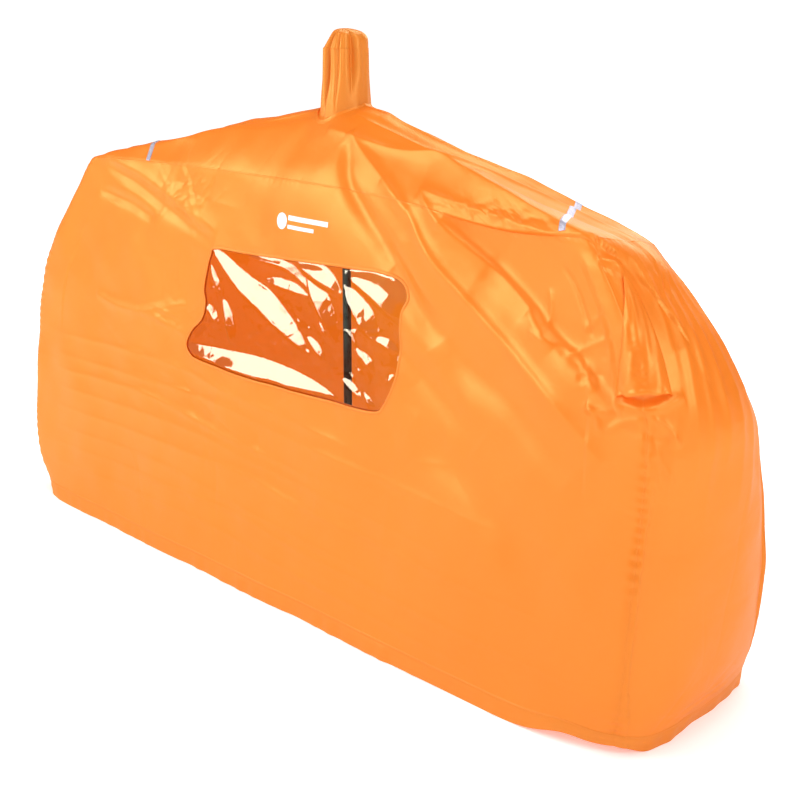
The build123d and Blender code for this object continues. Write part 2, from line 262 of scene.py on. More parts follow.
def crumple(height, u, v, middle, size, count, length, depth, width, seed, heading=None, where=None):
    """Adds many short sharp creases round a middle point, fewer and shallower towards the rim."""
    random = np.random.default_rng(seed)
    for k in range(count):
        offset = random.normal(0, 0.5, 2)
        centre = np.array(middle) + offset * size
        angle = random.uniform(0, math.pi) if heading is None else random.normal(heading, 0.45)
        long = length * random.uniform(0.4, 1.4)
        high = depth * random.uniform(0.3, 1.0) * random.choice([-1, 1]) * math.exp(-(offset @ offset))
        thin = width * random.uniform(0.6, 1.5)
        du, dv = u - centre[0], v - centre[1]
        near = (np.abs(du) < 2 * long) & (np.abs(dv) < 2 * long)
        if where is not None:
            near &= where
        du, dv = du[near], dv[near]
        lengthwise = du * math.cos(angle) + dv * math.sin(angle)
        crosswise = dv * math.cos(angle) - du * math.sin(angle)
        height[near] += high * np.exp(-np.abs(crosswise) / thin) * np.exp(-((lengthwise / long) ** 2))


def waves(points, scale, seed, count=14):
    """Smooth random field of about unit size with waves of about one length."""
    random = np.random.default_rng(seed)
    total = np.zeros(points.shape[:-1])
    for k in range(count):
        direction = random.normal(size=3)
        direction /= np.linalg.norm(direction)
        pitch = scale * random.uniform(0.6, 1.7)
        total += np.sin(points @ direction * (2 * math.pi / pitch) + random.uniform(0, 6.28))
    return total / math.sqrt(count / 2)


# ---------------------------------------------------------------- folding the shelter's cloth
def shelter_cloth():
    """The whole shelter's folded grid of points, and its normals."""
    walls = wall_loops()
    points = rounded(np.concatenate([walls, roof_loops(walls[-1])]))
    normal = surface_normals(points)
    x, y, z = np.moveaxis(points, -1, 0)
    column = np.broadcast_to(np.arange(COLUMNS), x.shape)
    row = np.broadcast_to(np.arange(ROWS)[:, None], x.shape)
    facing_front = (normal[..., 1] < -0.15) & ((column < CORNERS[1] + 60) | (column > COLUMNS - 60))
    facing_back = normal[..., 1] > 0.25
    on_right = (column > CORNERS[1] - 30) & (column < CORNERS[2] + 30)
    on_left = (column > CORNERS[3] - 30) | (column < 30)
    on_roof = row > WALL_ROWS - 8
    lift = np.zeros(x.shape)

    free = step(z, 0.0, 0.10)
    lift += (0.0030 * waves(points, 0.32, 1) + 0.0009 * waves(points, 0.11, 2)) * (0.25 + 0.75 * free)
    lift += 0.006 * np.exp(-(((z - 0.20) / 0.14) ** 2)) * (np.abs(normal[..., 1]) > 0.6)
    front_folds(lift, x, z, facing_front, facing_front & (row <= WALL_ROWS))
    back_folds(lift, x, z, facing_back)
    for on_end, side in ((on_right, 1), (on_left, -1)):
        end_folds(lift, y, z, on_end, side)
    roof_folds(lift, x, y, on_roof)
    seam_puckers(lift, column, row, z)
    faint_creases(lift, x, y, z, facing_front, facing_back, on_right, on_left)

    lift *= 1 - 0.9 * under_hood(column, row)
    corner_wrinkles(lift, column, z, row < WALL_ROWS)
    folded = points + normal * lift[..., None]
    shape_hem(folded, column, row)
    return folded, surface_normals(folded)


def under_hood(column, row):
    """1 where the corner vent covers the cloth, fading to 0 round it."""
    from_corner = column - CORNERS[1]
    sideways = step(from_corner, -17, -9) * (1 - step(from_corner, 25, 33))
    return sideways * step(row, 150, 162) * (1 - step(row, 208, 216))


def front_folds(lift, x, z, where, on_wall):
    """Tension folds that run down from the chimney, and the crumpled shoulders."""
    ridges = [
        ([(0.076, 0.768), (0.100, 0.750), (0.149, 0.725), (0.200, 0.698), (0.250, 0.668)],
         0.0055, 0.014, 1.3, 1.8),
        ([(0.180, 0.712), (0.254, 0.669), (0.288, 0.634), (0.323, 0.603), (0.373, 0.571), (0.414, 0.545),
          (0.494, 0.498), (0.577, 0.447), (0.650, 0.395)], 0.0076, 0.017, 1.5, 2.3),
        ([(0.262, 0.700), (0.318, 0.663), (0.357, 0.641), (0.397, 0.621), (0.458, 0.590), (0.504, 0.560),
          (0.545, 0.525)], 0.0066, 0.012, 1.6, 2.2),
        ([(0.490, 0.565), (0.511, 0.549), (0.550, 0.524), (0.602, 0.497), (0.660, 0.462)],
         0.0050, 0.018, 1.3, 1.5),
        ([(0.258, 0.704), (0.310, 0.694), (0.406, 0.684), (0.463, 0.678), (0.560, 0.668)],
         0.0048, 0.007, 1.0, 1.0),
        ([(-0.57, 0.676), (-0.44, 0.658), (-0.33, 0.624), (-0.20, 0.582)], 0.0046, 0.012, 1.6, 1.0),
        ([(-0.56, 0.424), (-0.484, 0.414), (-0.368, 0.414), (-0.272, 0.396)], 0.0042, 0.010, 1.0, 1.0),
        ([(-0.402, 0.416), (-0.337, 0.434), (-0.280, 0.450)], 0.0030, 0.008, 1.0, 1.0),
    ]
    valleys = [
        ([(0.078, 0.752), (0.109, 0.696), (0.154, 0.655), (0.205, 0.616), (0.261, 0.565), (0.33, 0.49)],
         0.0080, 0.0110, 1.9),
        ([(0.225, 0.584), (0.291, 0.539), (0.346, 0.507), (0.404, 0.468), (0.462, 0.446),
          (0.517, 0.416), (0.60, 0.36)],
         0.0060, 0.022, 1.4),
        ([(0.230, 0.490), (0.262, 0.467), (0.315, 0.439), (0.367, 0.406), (0.430, 0.365)],
         0.0045, 0.018, 1.4),
        ([(-0.545, 0.662), (-0.448, 0.638), (-0.333, 0.602), (-0.205, 0.564)], 0.0058, 0.010, 1.5),
        ([(-0.563, 0.614), (-0.467, 0.602), (-0.385, 0.583)], 0.0045, 0.009, 1.2),
        ([(0.30, 0.36), (0.44, 0.30), (0.60, 0.22)], 0.0035, 0.030, 1.4),
    ]
    creases = [
        ([(0.540, 0.632), (0.566, 0.611), (0.597, 0.564), (0.604, 0.550)], -0.0030, 0.0038),
        ([(0.590, 0.556), (0.597, 0.564), (0.631, 0.590), (0.640, 0.596)], 0.0028, 0.0038),
        ([(0.608, 0.606), (0.618, 0.599), (0.643, 0.584), (0.650, 0.580)], 0.0030, 0.0034),
        ([(0.566, 0.520), (0.579, 0.525), (0.615, 0.544), (0.650, 0.561), (0.660, 0.566)], 0.0034, 0.0038),
        ([(0.500, 0.540), (0.530, 0.534), (0.576, 0.525), (0.608, 0.502), (0.626, 0.484)], 0.0036, 0.0046),
        ([(0.595, 0.494), (0.604, 0.497), (0.633, 0.507)], -0.0025, 0.0036),
        ([(0.520, 0.600), (0.528, 0.570), (0.522, 0.540)], 0.0030, 0.0060),
        ([(0.610, 0.458), (0.625, 0.459), (0.667, 0.463)], 0.0040, 0.0038),
        ([(0.615, 0.468), (0.634, 0.452), (0.644, 0.430)], 0.0045, 0.0042),
    ]
    for route, depth, width, spread, lean in ridges:
        fold(lift, x, z, route, depth, width, form="crest", spread=spread, lean=lean, where=where)
    for route, depth, width, spread in valleys:
        fold(lift, x, z, route, -depth, width, spread=spread, where=where)
    hollow = [(0.330, 0.676), (0.414, 0.622), (0.462, 0.598), (0.530, 0.560), (0.600, 0.520), (0.680, 0.480)]
    fold(lift, x, z, hollow, -0.0165, 0.026, lean=0.26, where=on_wall)
    corner_step = [(0.602, 0.690), (0.612, 0.650), (0.634, 0.612), (0.652, 0.576), (0.662, 0.530)]
    fold(lift, x, z, corner_step, -0.0060, 0.026, lean=5.0, where=on_wall)
    for route, depth, width in creases:
        fold(lift, x, z, route, depth, width, form="sharp", where=where)
    crumple(
        lift, x, z, (0.42, 0.686), (0.13, 0.010), 70, 0.022, 0.0022, 0.0028, 12, heading=-0.25, where=where
    )
    crumple(lift, x, z, (-0.30, 0.635), (0.12, 0.040), 44, 0.045, 0.0024, 0.0042, 13, where=where)
    crumple(lift, x, z, (-0.34, 0.42), (0.09, 0.03), 20, 0.045, 0.0018, 0.0040, 15, heading=-0.2, where=where)
    for height, depth, end in (
        (0.330, 0.0016, 0.20), (0.290, 0.0014, 0.50), (0.262, 0.0020, 0.10), (0.228, 0.0015, 0.42),
        (0.190, 0.0018, 0.62), (0.150, 0.0014, 0.30), (0.118, 0.0018, 0.66), (0.080, 0.0016, 0.50),
    ):
        middle = (end - 0.68) / 2
        route = [
            (-0.68, height),
            (middle - 0.1, height + 0.010),
            (middle + 0.1, height - 0.006),
            (end, height - 0.030),
        ]
        fold(lift, x, z, route, depth, 0.0060, form="crest", where=where)


def corner_wrinkles(lift, column, z, where):
    """Wrinkles that cross the right front corner under its vent, and the lower lip of the vent's mouth."""
    offset = column - CORNERS[1]
    along = offset * np.where(offset < 0, 0.0031, 0.0023)
    lip = [(-0.050, 0.476), (-0.030, 0.478), (0.010, 0.477), (0.046, 0.488), (0.064, 0.492)]
    fold(lift, along, z, lip, 0.0060, 0.0065, form="crest", where=where)
    fold(lift, along, z, [(-0.034, 0.490), (-0.004, 0.488), (0.034, 0.496)], -0.0050, 0.0060, where=where)
    for route, depth in (
        ([(-0.066, 0.436), (-0.034, 0.456), (0.002, 0.464)], 0.0032),
        ([(0.006, 0.468), (0.026, 0.458), (0.052, 0.430)], 0.0040),
        ([(-0.004, 0.450), (0.018, 0.442), (0.044, 0.450)], -0.0014),
        ([(-0.044, 0.446), (-0.022, 0.444), (0.000, 0.452)], -0.0014),
        ([(0.010, 0.434), (0.026, 0.408), (0.046, 0.384)], 0.0026),
        ([(0.002, 0.422), (0.014, 0.398), (0.024, 0.374)], 0.0022),
        ([(-0.006, 0.652), (0.016, 0.650), (0.044, 0.642)], 0.0028),
        ([(0.000, 0.662), (0.024, 0.662), (0.056, 0.652)], -0.0022),
        ([(-0.006, 0.643), (0.012, 0.642), (0.030, 0.636)], -0.0026),
    ):
        fold(lift, along, z, route, depth, 0.0050, form="crest", where=where)


def back_folds(lift, x, z, where):
    """Folds of the side that has no window: taut lines from the chimney to the shoulders and the hem."""
    random = np.random.default_rng(21)
    for k in range(12):
        lean = -0.5 + k / 11 + random.uniform(-0.03, 0.03)
        top = (lean * 0.12, 0.76)
        middle = (lean * 0.60, 0.66 - 0.10 * random.uniform(0.2, 1.0))
        foot = (lean * 1.15, 0.36 + random.uniform(-0.10, 0.12))
        depth = random.uniform(0.003, 0.007) * (1 if k % 2 else -1)
        fold(lift, x, z, [top, middle, foot], depth, 0.012, spread=2.0, where=where)
    for side in (-1, 1):
        place = (side * 0.55, 0.60)
        crumple(lift, x, z, place, (0.08, 0.07), 40, 0.040, 0.0022, 0.0035, 22 + side, where=where)
    crumple(lift, x, z, (0.0, 0.66), (0.35, 0.03), 50, 0.040, 0.0020, 0.0035, 25, heading=0.0, where=where)


def end_folds(lift, y, z, where, side):
    """A puffed shoulder, and pleats that fan down an end from it."""
    random = np.random.default_rng(31 + side)
    puff = np.exp(-((y + 0.020) / 0.034) ** 2 - ((z - 0.635) / 0.022) ** 2)
    lift[where] += 0.007 * puff[where]
    for start in (-0.076, -0.062, -0.046, -0.030, -0.012, 0.008, 0.028, 0.046):
        foot = start * 1.75 + random.uniform(-0.008, 0.008)
        low = 0.33 + random.uniform(-0.07, 0.07)
        strength = random.uniform(0.6, 1.2)
        route = [(start * 0.8 - 0.004, 0.628), (start * 1.15, 0.570), (start * 1.5, 0.480), (foot, low)]
        fold(lift, y, z, route, 0.0034 * strength, 0.0060, form="crest", spread=2.6, where=where)
        between = [(start * 0.8 + 0.005, 0.622), (start * 1.15 + 0.009, 0.565), (foot + 0.018, low + 0.06)]
        fold(lift, y, z, between, -0.0022 * strength, 0.0055, spread=2.6, where=where)
    crumple(
        lift, y, z, (-0.03, 0.615), (0.05, 0.025), 26, 0.022, 0.0016, 0.0026, 34 + side,
        heading=1.2, where=where,
    )
    crumple(
        lift, y, z, (0.0, 0.05), (0.12, 0.03), 24, 0.045, 0.0022, 0.0045, 36 + side,
        heading=0.1, where=where,
    )


def roof_folds(lift, x, y, where):
    """Taut folds along the roof from the chimney to each shoulder."""
    for route, depth, width, form, lean in (
        ([(0.020, 0.004), (0.10, 0.000), (0.223, -0.004), (0.334, 0.007), (0.450, 0.018), (0.610, 0.028)],
         0.0052, 0.0062, "crest", 1.0),
        ([(0.020, -0.052), (0.10, -0.056), (0.200, -0.056), (0.271, -0.052), (0.373, -0.036), (0.463, -0.024),
          (0.610, -0.018)], 0.0054, 0.0062, "crest", 1.0),
        ([(0.050, -0.026), (0.15, -0.028), (0.245, -0.028), (0.354, -0.014), (0.477, -0.003), (0.600, 0.004)],
         -0.0050, 0.0100, "round", 1.0),
        ([(0.10, 0.058), (0.30, 0.048), (0.58, 0.046)], -0.0042, 0.0100, "round", 1.0),
        ([(0.05, 0.078), (0.30, 0.066), (0.56, 0.060)], 0.0050, 0.0090, "crest", 1.0),
        ([(0.36, -0.062), (0.50, -0.046), (0.62, -0.040)], -0.0028, 0.0080, "round", 1.0),
        ([(-0.03, -0.034), (-0.25, -0.042), (-0.48, -0.036), (-0.61, -0.026)], -0.0042, 0.0080, "round", 1.0),
        ([(-0.20, -0.016), (-0.35, -0.018), (-0.50, -0.016), (-0.61, -0.008)], 0.0030, 0.0065, "crest", 1.0),
        ([(-0.30, -0.070), (-0.45, -0.058), (-0.60, -0.050)], 0.0040, 0.0100, "crest", 1.0),
    ):
        fold(lift, x, y, route, depth, width, form=form, lean=lean, where=where)
    along = np.clip(1 - np.abs(x - 0.105) / 0.055, 0, 1)
    across = np.exp(-(((y - 0.004 + 0.2 * (x - 0.05)) / 0.016) ** 2))
    lift[where] += 0.0040 * (along * across)[where]


def seam_puckers(lift, column, row, z):
    """Small gathers of the cloth each side of its sewn seams."""
    below = row < WALL_ROWS
    for corner in CORNERS[:4]:
        gap = np.abs((column - corner + COLUMNS / 2) % COLUMNS - COLUMNS / 2) * 0.003
        ripple = np.sin(z * 2 * math.pi / 0.0150 + 2.1 * np.sin(z * 37) + corner)
        ripple *= 0.45 + 0.55 * np.sin(z * 19 + corner)
        lift += 0.0009 * ripple * np.exp(-((gap / 0.014) ** 2)) * below
        lift -= 0.0016 * np.exp(-((gap / 0.006) ** 2)) * below
    rows_from_eave = np.abs(row - WALL_ROWS)
    ripple = np.sin(column * 2 * math.pi / 6.1 + 2.9 * np.sin(column * 0.083) + 1.3 * np.sin(column * 0.31))
    ripple *= 0.5 + 0.5 * np.sin(column * 0.047 + 1.0) * np.sin(column * 0.019)
    lift += 0.0003 * ripple * np.exp(-((rows_from_eave / 3.0) ** 2))


def faint_creases(lift, x, y, z, front, back, right, left):
    """Creases left from being packed, spread thinly over every panel."""
    for side, (where, u, half) in enumerate(
        ((front, x, 0.65), (back, x, 0.65), (right, y, 0.15), (left, y, 0.15))
    ):
        count = int(90 * half / 0.65) + 14
        crumple(lift, u, z, (0, 0.36), (half, 0.36), count, 0.10, 0.0009, 0.0060, 41 + side, where=where)
        crumple(lift, u, z, (0, 0.30), (half, 0.30), count, 0.05, 0.0007, 0.0035, 51 + side, where=where)


def shape_hem(points, column, row):
    """Lets the hem wander a little, lifts it by the right corner and rests the rest on the floor."""
    low = np.exp(-row / 18.0)
    s = column / COLUMNS * 2 * math.pi
    wander = 0.0012 * np.sin(11 * s + 0.7) + 0.0007 * np.sin(23 * s + 2.1) + 0.0003 * np.sin(47 * s)
    inward = points[..., :2] / np.maximum(np.linalg.norm(points[..., :2], axis=-1, keepdims=True), 1e-6)
    points[..., :2] += inward * (wander * low)[..., None]
    from_corner = column - CORNERS[1]
    tucked = np.exp(-(((from_corner - 4) / 36.0) ** 2)) * np.exp(-row / 24.0)
    points[..., 1] += 0.024 * tucked
    arch = 0.016 * np.exp(-(((from_corner + 26) / 17.0) ** 2))
    arch = arch + 0.013 * np.exp(-(((from_corner - 2) / 15.0) ** 2))
    arch += 0.004 * np.exp(-(((from_corner - 70) / 16.0) ** 2))
    points[..., 2] += arch * np.exp(-row / 14.0)
    points[..., 2] = np.maximum(points[..., 2], 0.0004)


# ---------------------------------------------------------------- meshes from grids
def grid_piece(name, points, material, body="shelter", closed=False, keep=None, size=None):
    """A mesh of the quads of a grid of points, with a cloth map in metres, riding on a body."""
    rows, columns = points.shape[:2]
    index = np.arange(rows * columns).reshape(rows, columns)
    if closed:
        index = np.concatenate([index, index[:, :1]], 1)
    quads = np.stack([index[:-1, :-1], index[:-1, 1:], index[1:, 1:], index[1:, :-1]], -1)
    quads = quads.reshape(-1, 4) if keep is None else quads[keep]
    used, faces = np.unique(quads, return_inverse=True)
    mesh = bpy.data.meshes.new(name)
    mesh.vertices.add(len(used))
    mesh.vertices.foreach_set("co", points.reshape(-1, 3)[used].astype(np.float32).ravel())
    mesh.loops.add(faces.size)
    mesh.loops.foreach_set("vertex_index", faces.astype(np.int32).ravel())
    mesh.polygons.add(len(quads))
    mesh.polygons.foreach_set("loop_start", np.arange(len(quads), dtype=np.int32) * 4)
    mesh.polygons.foreach_set("use_smooth", np.ones(len(quads), bool))
    mesh.update()
    mesh.validate()
    layer = mesh.uv_layers.new(name="cloth")
    width, height = size or cloth_size(points)
    flat = np.stack([used % columns * (width / columns), used // columns * (height / rows)], -1)
    layer.data.foreach_set("uv", flat[faces.ravel()].astype(np.float32).ravel())
    piece = bpy.data.objects.new(name, mesh)
    bpy.context.scene.collection.objects.link(piece)
    mesh.materials.append(material)
    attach(piece, body)
    return piece


def cloth_size(points):
    """Typical width and height of a grid of points, along its lines."""
    width = np.linalg.norm(np.diff(points, axis=1), axis=-1).sum(1)
    height = np.linalg.norm(np.diff(points, axis=0), axis=-1).sum(0)
    return float(np.median(width)), float(np.median(height))


def stands_for(piece, slot, *nodes):
    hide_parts(*nodes)
    return piece


def side_columns(side):
    """Column numbers of a side, both of its corners among them."""
    return np.arange(side.start, side.stop + 1) % COLUMNS


# ---------------------------------------------------------------- window
WINDOW = [
    (-0.200, 0.556), (-0.120, 0.559), (0.025, 0.567), (0.134, 0.572), (0.212, 0.574), (0.246, 0.565),
    (0.261, 0.544), (0.255, 0.520), (0.257, 0.470), (0.256, 0.425), (0.236, 0.381), (0.213, 0.366),
    (0.129, 0.362), (-0.043, 0.357), (-0.222, 0.360), (-0.256, 0.366), (-0.270, 0.382), (-0.258, 0.408),
    (-0.234, 0.432), (-0.226, 0.460), (-0.231, 0.484), (-0.223, 0.516), (-0.213, 0.542),
]


def window_edge(count=260):
    """Closed outline of the window in x and z."""
    ring = WINDOW[-2:] + WINDOW + WINDOW[:3]
    dense = smooth_route(ring, count * 2)
    start = int(len(dense) * 2 / (len(ring) - 1))
    stop = int(len(dense) * (2 + len(WINDOW)) / (len(ring) - 1))
    return dense[start:stop:2]


def outline_gap(outline, x, z):
    """Signed distance to the outline, negative inside it, and its nearest point."""
    point = np.stack([x.ravel(), z.ravel()], -1)
    closed = np.concatenate([outline, outline[:1]])
    gap = np.full(len(point), 1e9)
    nearest = np.zeros_like(point)
    inside = np.zeros(len(point), bool)
    for a, b in zip(closed, closed[1:]):
        d = b - a
        t = np.clip(((point - a) @ d) / (d @ d), 0, 1)
        spot = a + t[:, None] * d
        far = np.linalg.norm(point - spot, axis=1)
        closer = far < gap
        gap[closer] = far[closer]
        nearest[closer] = spot[closer]
        spans = (a[1] > point[:, 1]) != (b[1] > point[:, 1])
        crossing = a[0] + (point[:, 1] - a[1]) * d[0] / (d[1] if d[1] else 1e-12)
        inside ^= spans & (point[:, 0] < crossing)
    return np.where(inside, -gap, gap).reshape(x.shape), nearest.reshape(*x.shape, 2)


def cut_along(points, outline, keep_inside, margin):
    """Keeps the quads on one side of the outline, and moves their rim onto it."""
    gap, nearest = outline_gap(outline, points[..., 0], points[..., 2])
    sign = 1 if keep_inside else -1
    gap = sign * gap - margin
    corner_gaps = np.stack([gap[:-1, :-1], gap[:-1, 1:], gap[1:, 1:], gap[1:, :-1]])
    keep = corner_gaps.mean(0) < 0
    touched = np.zeros(gap.shape, bool)
    dropped = ~keep
    for dr in (0, 1):
        for dc in (0, 1):
            touched[dr : gap.shape[0] - 1 + dr, dc : gap.shape[1] - 1 + dc] |= dropped
    kept = np.zeros(gap.shape, bool)
    for dr in (0, 1):
        for dc in (0, 1):
            kept[dr : gap.shape[0] - 1 + dr, dc : gap.shape[1] - 1 + dc] |= keep
    rim = touched & kept & (np.abs(gap) < 0.006)
    away = np.stack([points[..., 0], points[..., 2]], -1) - nearest
    length = np.maximum(np.linalg.norm(away, axis=-1, keepdims=True), 1e-9)
    target = nearest + away / length * margin if margin else nearest
    moved = points.copy()
    shift = (target - np.stack([points[..., 0], points[..., 2]], -1)) * rim[..., None]
    moved[..., 0] += shift[..., 0]
    moved[..., 2] += shift[..., 1]
    moved[..., 1] += shift[..., 1] * slope
    return moved, keep


def front_depth(cloth):
    """Function that gives the front panel's y at places x, z, from its grid."""
    panel = cloth[: WALL_ROWS + 1, side_columns(FRONT)]
    tree = tree_of(panel)

    def depth(x, z):
        hit = tree.ray_cast(Vector((x, -1, z)), Vector((0, 1, 0)))[0]
        return hit.y if hit is not None else slope * z - base_half

    return np.vectorize(depth)


def tree_of(points, closed=False):
    """BVH tree of a grid's quads."""
    rows, columns = points.shape[:2]
    index = np.arange(rows * columns).reshape(rows, columns)
    if closed:
        index = np.concatenate([index, index[:, :1]], 1)
    quads = np.stack([index[:-1, :-1], index[:-1, 1:], index[1:, 1:], index[1:, :-1]], -1)
    return BVHTree.FromPolygons(points.reshape(-1, 3).tolist(), quads.reshape(-1, 4).tolist())


def sampled(grid, row, column):
    """Values of a closed grid at whole or part rows and columns."""
    row = np.clip(np.asarray(row, float), 0, ROWS - 1.001)
    column = np.asarray(column, float) % COLUMNS
    r, c = row.astype(int), column.astype(int)
    a, b = (row - r)[..., None], (column - c)[..., None]
    after = (c + 1) % COLUMNS
    low = grid[r, c] * (1 - b) + grid[r, after] * b
    high = grid[r + 1, c] * (1 - b) + grid[r + 1, after] * b
    return low * (1 - a) + high * a


# ---------------------------------------------------------------- cloth panels
def panel_points(cloth, side):
    return cloth[: WALL_ROWS + 1, side_columns(side)]


def build_panels(cloth, outline):
    panels = {}
    front, keep = cut_along(panel_points(cloth, FRONT), outline, False, 0.0)
    panels["front"] = grid_piece("front_cloth", front, shell, keep=keep)
    for name, side in (("right_end", RIGHT), ("back", BACK), ("left_end", LEFT)):
        panels[name] = grid_piece(name + "_cloth", panel_points(cloth, side), shell)
    panels["roof"] = grid_piece("roof_cloth", cloth[WALL_ROWS:], shell, closed=True)
    for name, piece in panels.items():
        stands_for(piece, "shell_fabric", name + "_panel")
    return panels


def clear_film(cloth, outline):
    """Crinkled clear film behind the window opening, gathered at its upper left corner."""
    margin = 0.007
    low, high = outline.min(0) - margin * 1.5, outline.max(0) + margin * 1.5
    pitch = 0.0018
    x, z = np.meshgrid(np.arange(low[0], high[0], pitch), np.arange(low[1], high[1], pitch))
    gap = outline_gap(outline, x, z)[0]
    crinkle = np.zeros(x.shape)
    for route, width, slant in (
        ([(-0.215, 0.556), (-0.127, 0.504), (-0.058, 0.476), (0.000, 0.450), (0.055, 0.426)], 0.033, 0.40),
        ([(-0.300, 0.374), (-0.154, 0.366), (-0.046, 0.364), (0.060, 0.362), (0.150, 0.360)], 0.034, 0.42),
        ([(-0.110, 0.554), (-0.012, 0.550), (0.055, 0.522)], 0.015, 0.40),
        ([(-0.065, 0.522), (0.045, 0.514)], 0.014, 0.40),
        ([(0.040, 0.540), (0.080, 0.498), (0.120, 0.452)], 0.027, 0.38),
        ([(0.128, 0.540), (0.170, 0.500), (0.212, 0.470)], 0.029, 0.38),
        ([(0.128, 0.562), (0.200, 0.540), (0.268, 0.504)], 0.036, 0.40),
        ([(-0.216, 0.530), (-0.200, 0.505), (-0.178, 0.478)], 0.010, 0.42),
        ([(-0.172, 0.476), (-0.152, 0.434), (-0.136, 0.396)], 0.018, 0.40),
        ([(-0.226, 0.460), (-0.205, 0.446), (-0.180, 0.430)], 0.012, 0.42),
        ([(0.165, 0.452), (0.212, 0.422)], 0.012, 0.40),
        ([(0.205, 0.476), (0.258, 0.462)], 0.012, 0.40),
        ([(0.015, 0.566), (0.060, 0.548), (0.120, 0.530)], 0.028, 0.38),
        ([(0.050, 0.450), (0.098, 0.420)], 0.012, 0.40),
        ([(0.138, 0.402), (0.188, 0.380)], 0.011, 0.40),
        ([(0.190, 0.392), (0.226, 0.352)], 0.010, 0.40),
        ([(0.236, 0.412), (0.262, 0.428)], 0.011, 0.40),
        ([(0.075, 0.480), (0.100, 0.455)], 0.010, 0.40),
    ):
        film_facet(crinkle, x, z, route, width, slant)
    crumple(crinkle, x, z, (0.02, 0.50), (0.24, 0.06), 60, 0.030, 0.0011, 0.004, 61, heading=-0.8)
    crumple(crinkle, x, z, (0.17, 0.46), (0.09, 0.09), 90, 0.022, 0.0015, 0.0036, 62)
    crumple(crinkle, x, z, (-0.20, 0.46), (0.04, 0.07), 70, 0.020, 0.0016, 0.0034, 63)
    crumple(crinkle, x, z, (0.0, 0.46), (0.26, 0.11), 420, 0.009, 0.00065, 0.0024, 64)
    crinkle *= step(-gap, -0.002, 0.012)
    y = front_depth(cloth)(x, z)
    terms = np.stack([np.ones(x.size), x.ravel(), z.ravel()], 1)
    plane = (terms @ np.linalg.lstsq(terms, y.ravel(), rcond=None)[0]).reshape(x.shape)
    y += (plane - y) * step(-gap, 0.0, 0.030) + 0.0012 + crinkle
    points, keep = cut_along(np.stack([x, y, z], -1), outline, True, margin)
    piece = grid_piece("crinkled_film", points, film_material, keep=keep)
    return stands_for(piece, "clear_film", "window_film")


def film_facet(crinkle, x, z, route, width, slant):
    """A ridge of film along a route: a flat upper face of one width and slant, and a steeper lower one."""
    line = smooth_route(route) if len(route) > 2 else np.linspace(route[0], route[1], 4)
    point = np.stack([x, z], -1)
    best = np.full(x.shape, 1e9)
    share = np.zeros(x.shape)
    above = np.zeros(x.shape, bool)
    for k in range(len(line) - 1):
        a, d = line[k], line[k + 1] - line[k]
        offset = point - a
        t = np.clip((offset @ d) / (d @ d), 0, 1)
        gap = np.linalg.norm(offset - t[..., None] * d, axis=-1)
        closer = gap < best
        best[closer] = gap[closer]
        share[closer] = (k + t[closer]) / (len(line) - 1)
        above[closer] = (d[0] * offset[..., 1] - d[1] * offset[..., 0])[closer] > 0
    local_width = width * np.clip(np.sin(math.pi * np.clip(share, 0.02, 0.98)) ** 0.6, 0.15, 1)
    face = np.where(above, 1 - best / local_width, 1 - best / (local_width * 0.45))
    np.minimum(crinkle, -slant * local_width * np.clip(face, 0, 1), out=crinkle)


def window_hem(cloth, outline):
    """Narrow folded edge of the front cloth round the window, and the tape that holds the film inside."""
    closed = np.concatenate([outline, outline[:2]])
    along = np.gradient(closed, axis=0)[:-2]
    along /= np.linalg.norm(along, axis=1, keepdims=True)
    outward = np.stack([-along[:, 1], along[:, 0]], -1)
    probe = outline[:1] + outward[:1] * 0.003
    if outline_gap(outline, probe[:, 0], probe[:, 1])[0] < 0:
        outward = -outward
    depth = front_depth(cloth)
    pieces = []
    for name, section in (
        ("window_edge_fold", (
            (-0.0012, 0.0006), (-0.0014, 0.0001), (-0.0008, -0.0005), (0.0006, -0.0007), (0.0024, -0.0006),
            (0.0030, -0.0004), (0.0036, 0.0002))),
        ("window_inner_tape", ((-0.0030, 0.0022), (-0.0030, 0.0030), (0.0105, 0.0034), (0.0110, 0.0026))),
    ):
        rings = []
        for reach, inward in section:
            place = outline + outward * reach
            rings.append(np.stack([place[:, 0], depth(place[:, 0], place[:, 1]) + inward, place[:, 1]], -1))
        piece = grid_piece(name, np.array(rings), seam, closed=True)
        pieces.append(stands_for(piece, "seam_tape", "window_binding"))
    return pieces


# ---------------------------------------------------------------- seams, hem and tapes
def ribbon(name, path, normal, half_width, lift, material, closed=False, stitch=0.0035):
    """Sewn tape along a path: two stitched edges, and sides that turn down to the cloth."""
    tangent = np.gradient(path, axis=0)
    if closed:
        tangent = np.roll(path, -1, 0) - np.roll(path, 1, 0)
    tangent /= np.maximum(np.linalg.norm(tangent, axis=1, keepdims=True), 1e-9)
    across = np.cross(normal, tangent)
    length = np.concatenate([[0], np.cumsum(np.linalg.norm(np.diff(path, axis=0), axis=1))])
    pulse = np.abs(np.sin(length * math.pi / stitch)) * lift * 0.5
    rows = []
    for share, high in ((-1.08, -0.6), (-1, 0.4), (-0.72, 0.75), (-0.62, 0.3), (-0.5, 0.9), (0, 1.0),
                        (0.5, 0.9), (0.62, 0.3), (0.72, 0.75), (1, 0.4), (1.08, -0.6)):
        height = lift * high - 0.5 * half_width * share * share * 0.35
        sewn = pulse * (abs(abs(share) - 0.62) < 0.01)
        rows.append(path + across * (share * half_width) + normal * (height + sewn)[:, None]
                    if np.ndim(sewn) else path + across * (share * half_width) + normal * height)
    return grid_piece(name, np.array(rows), material, closed=closed)


def seam_path(cloth, normal, rows, columns):
    path = sampled(cloth, rows, columns)
    across = sampled(normal, rows, columns)
    return path, across / np.linalg.norm(across, axis=1, keepdims=True)


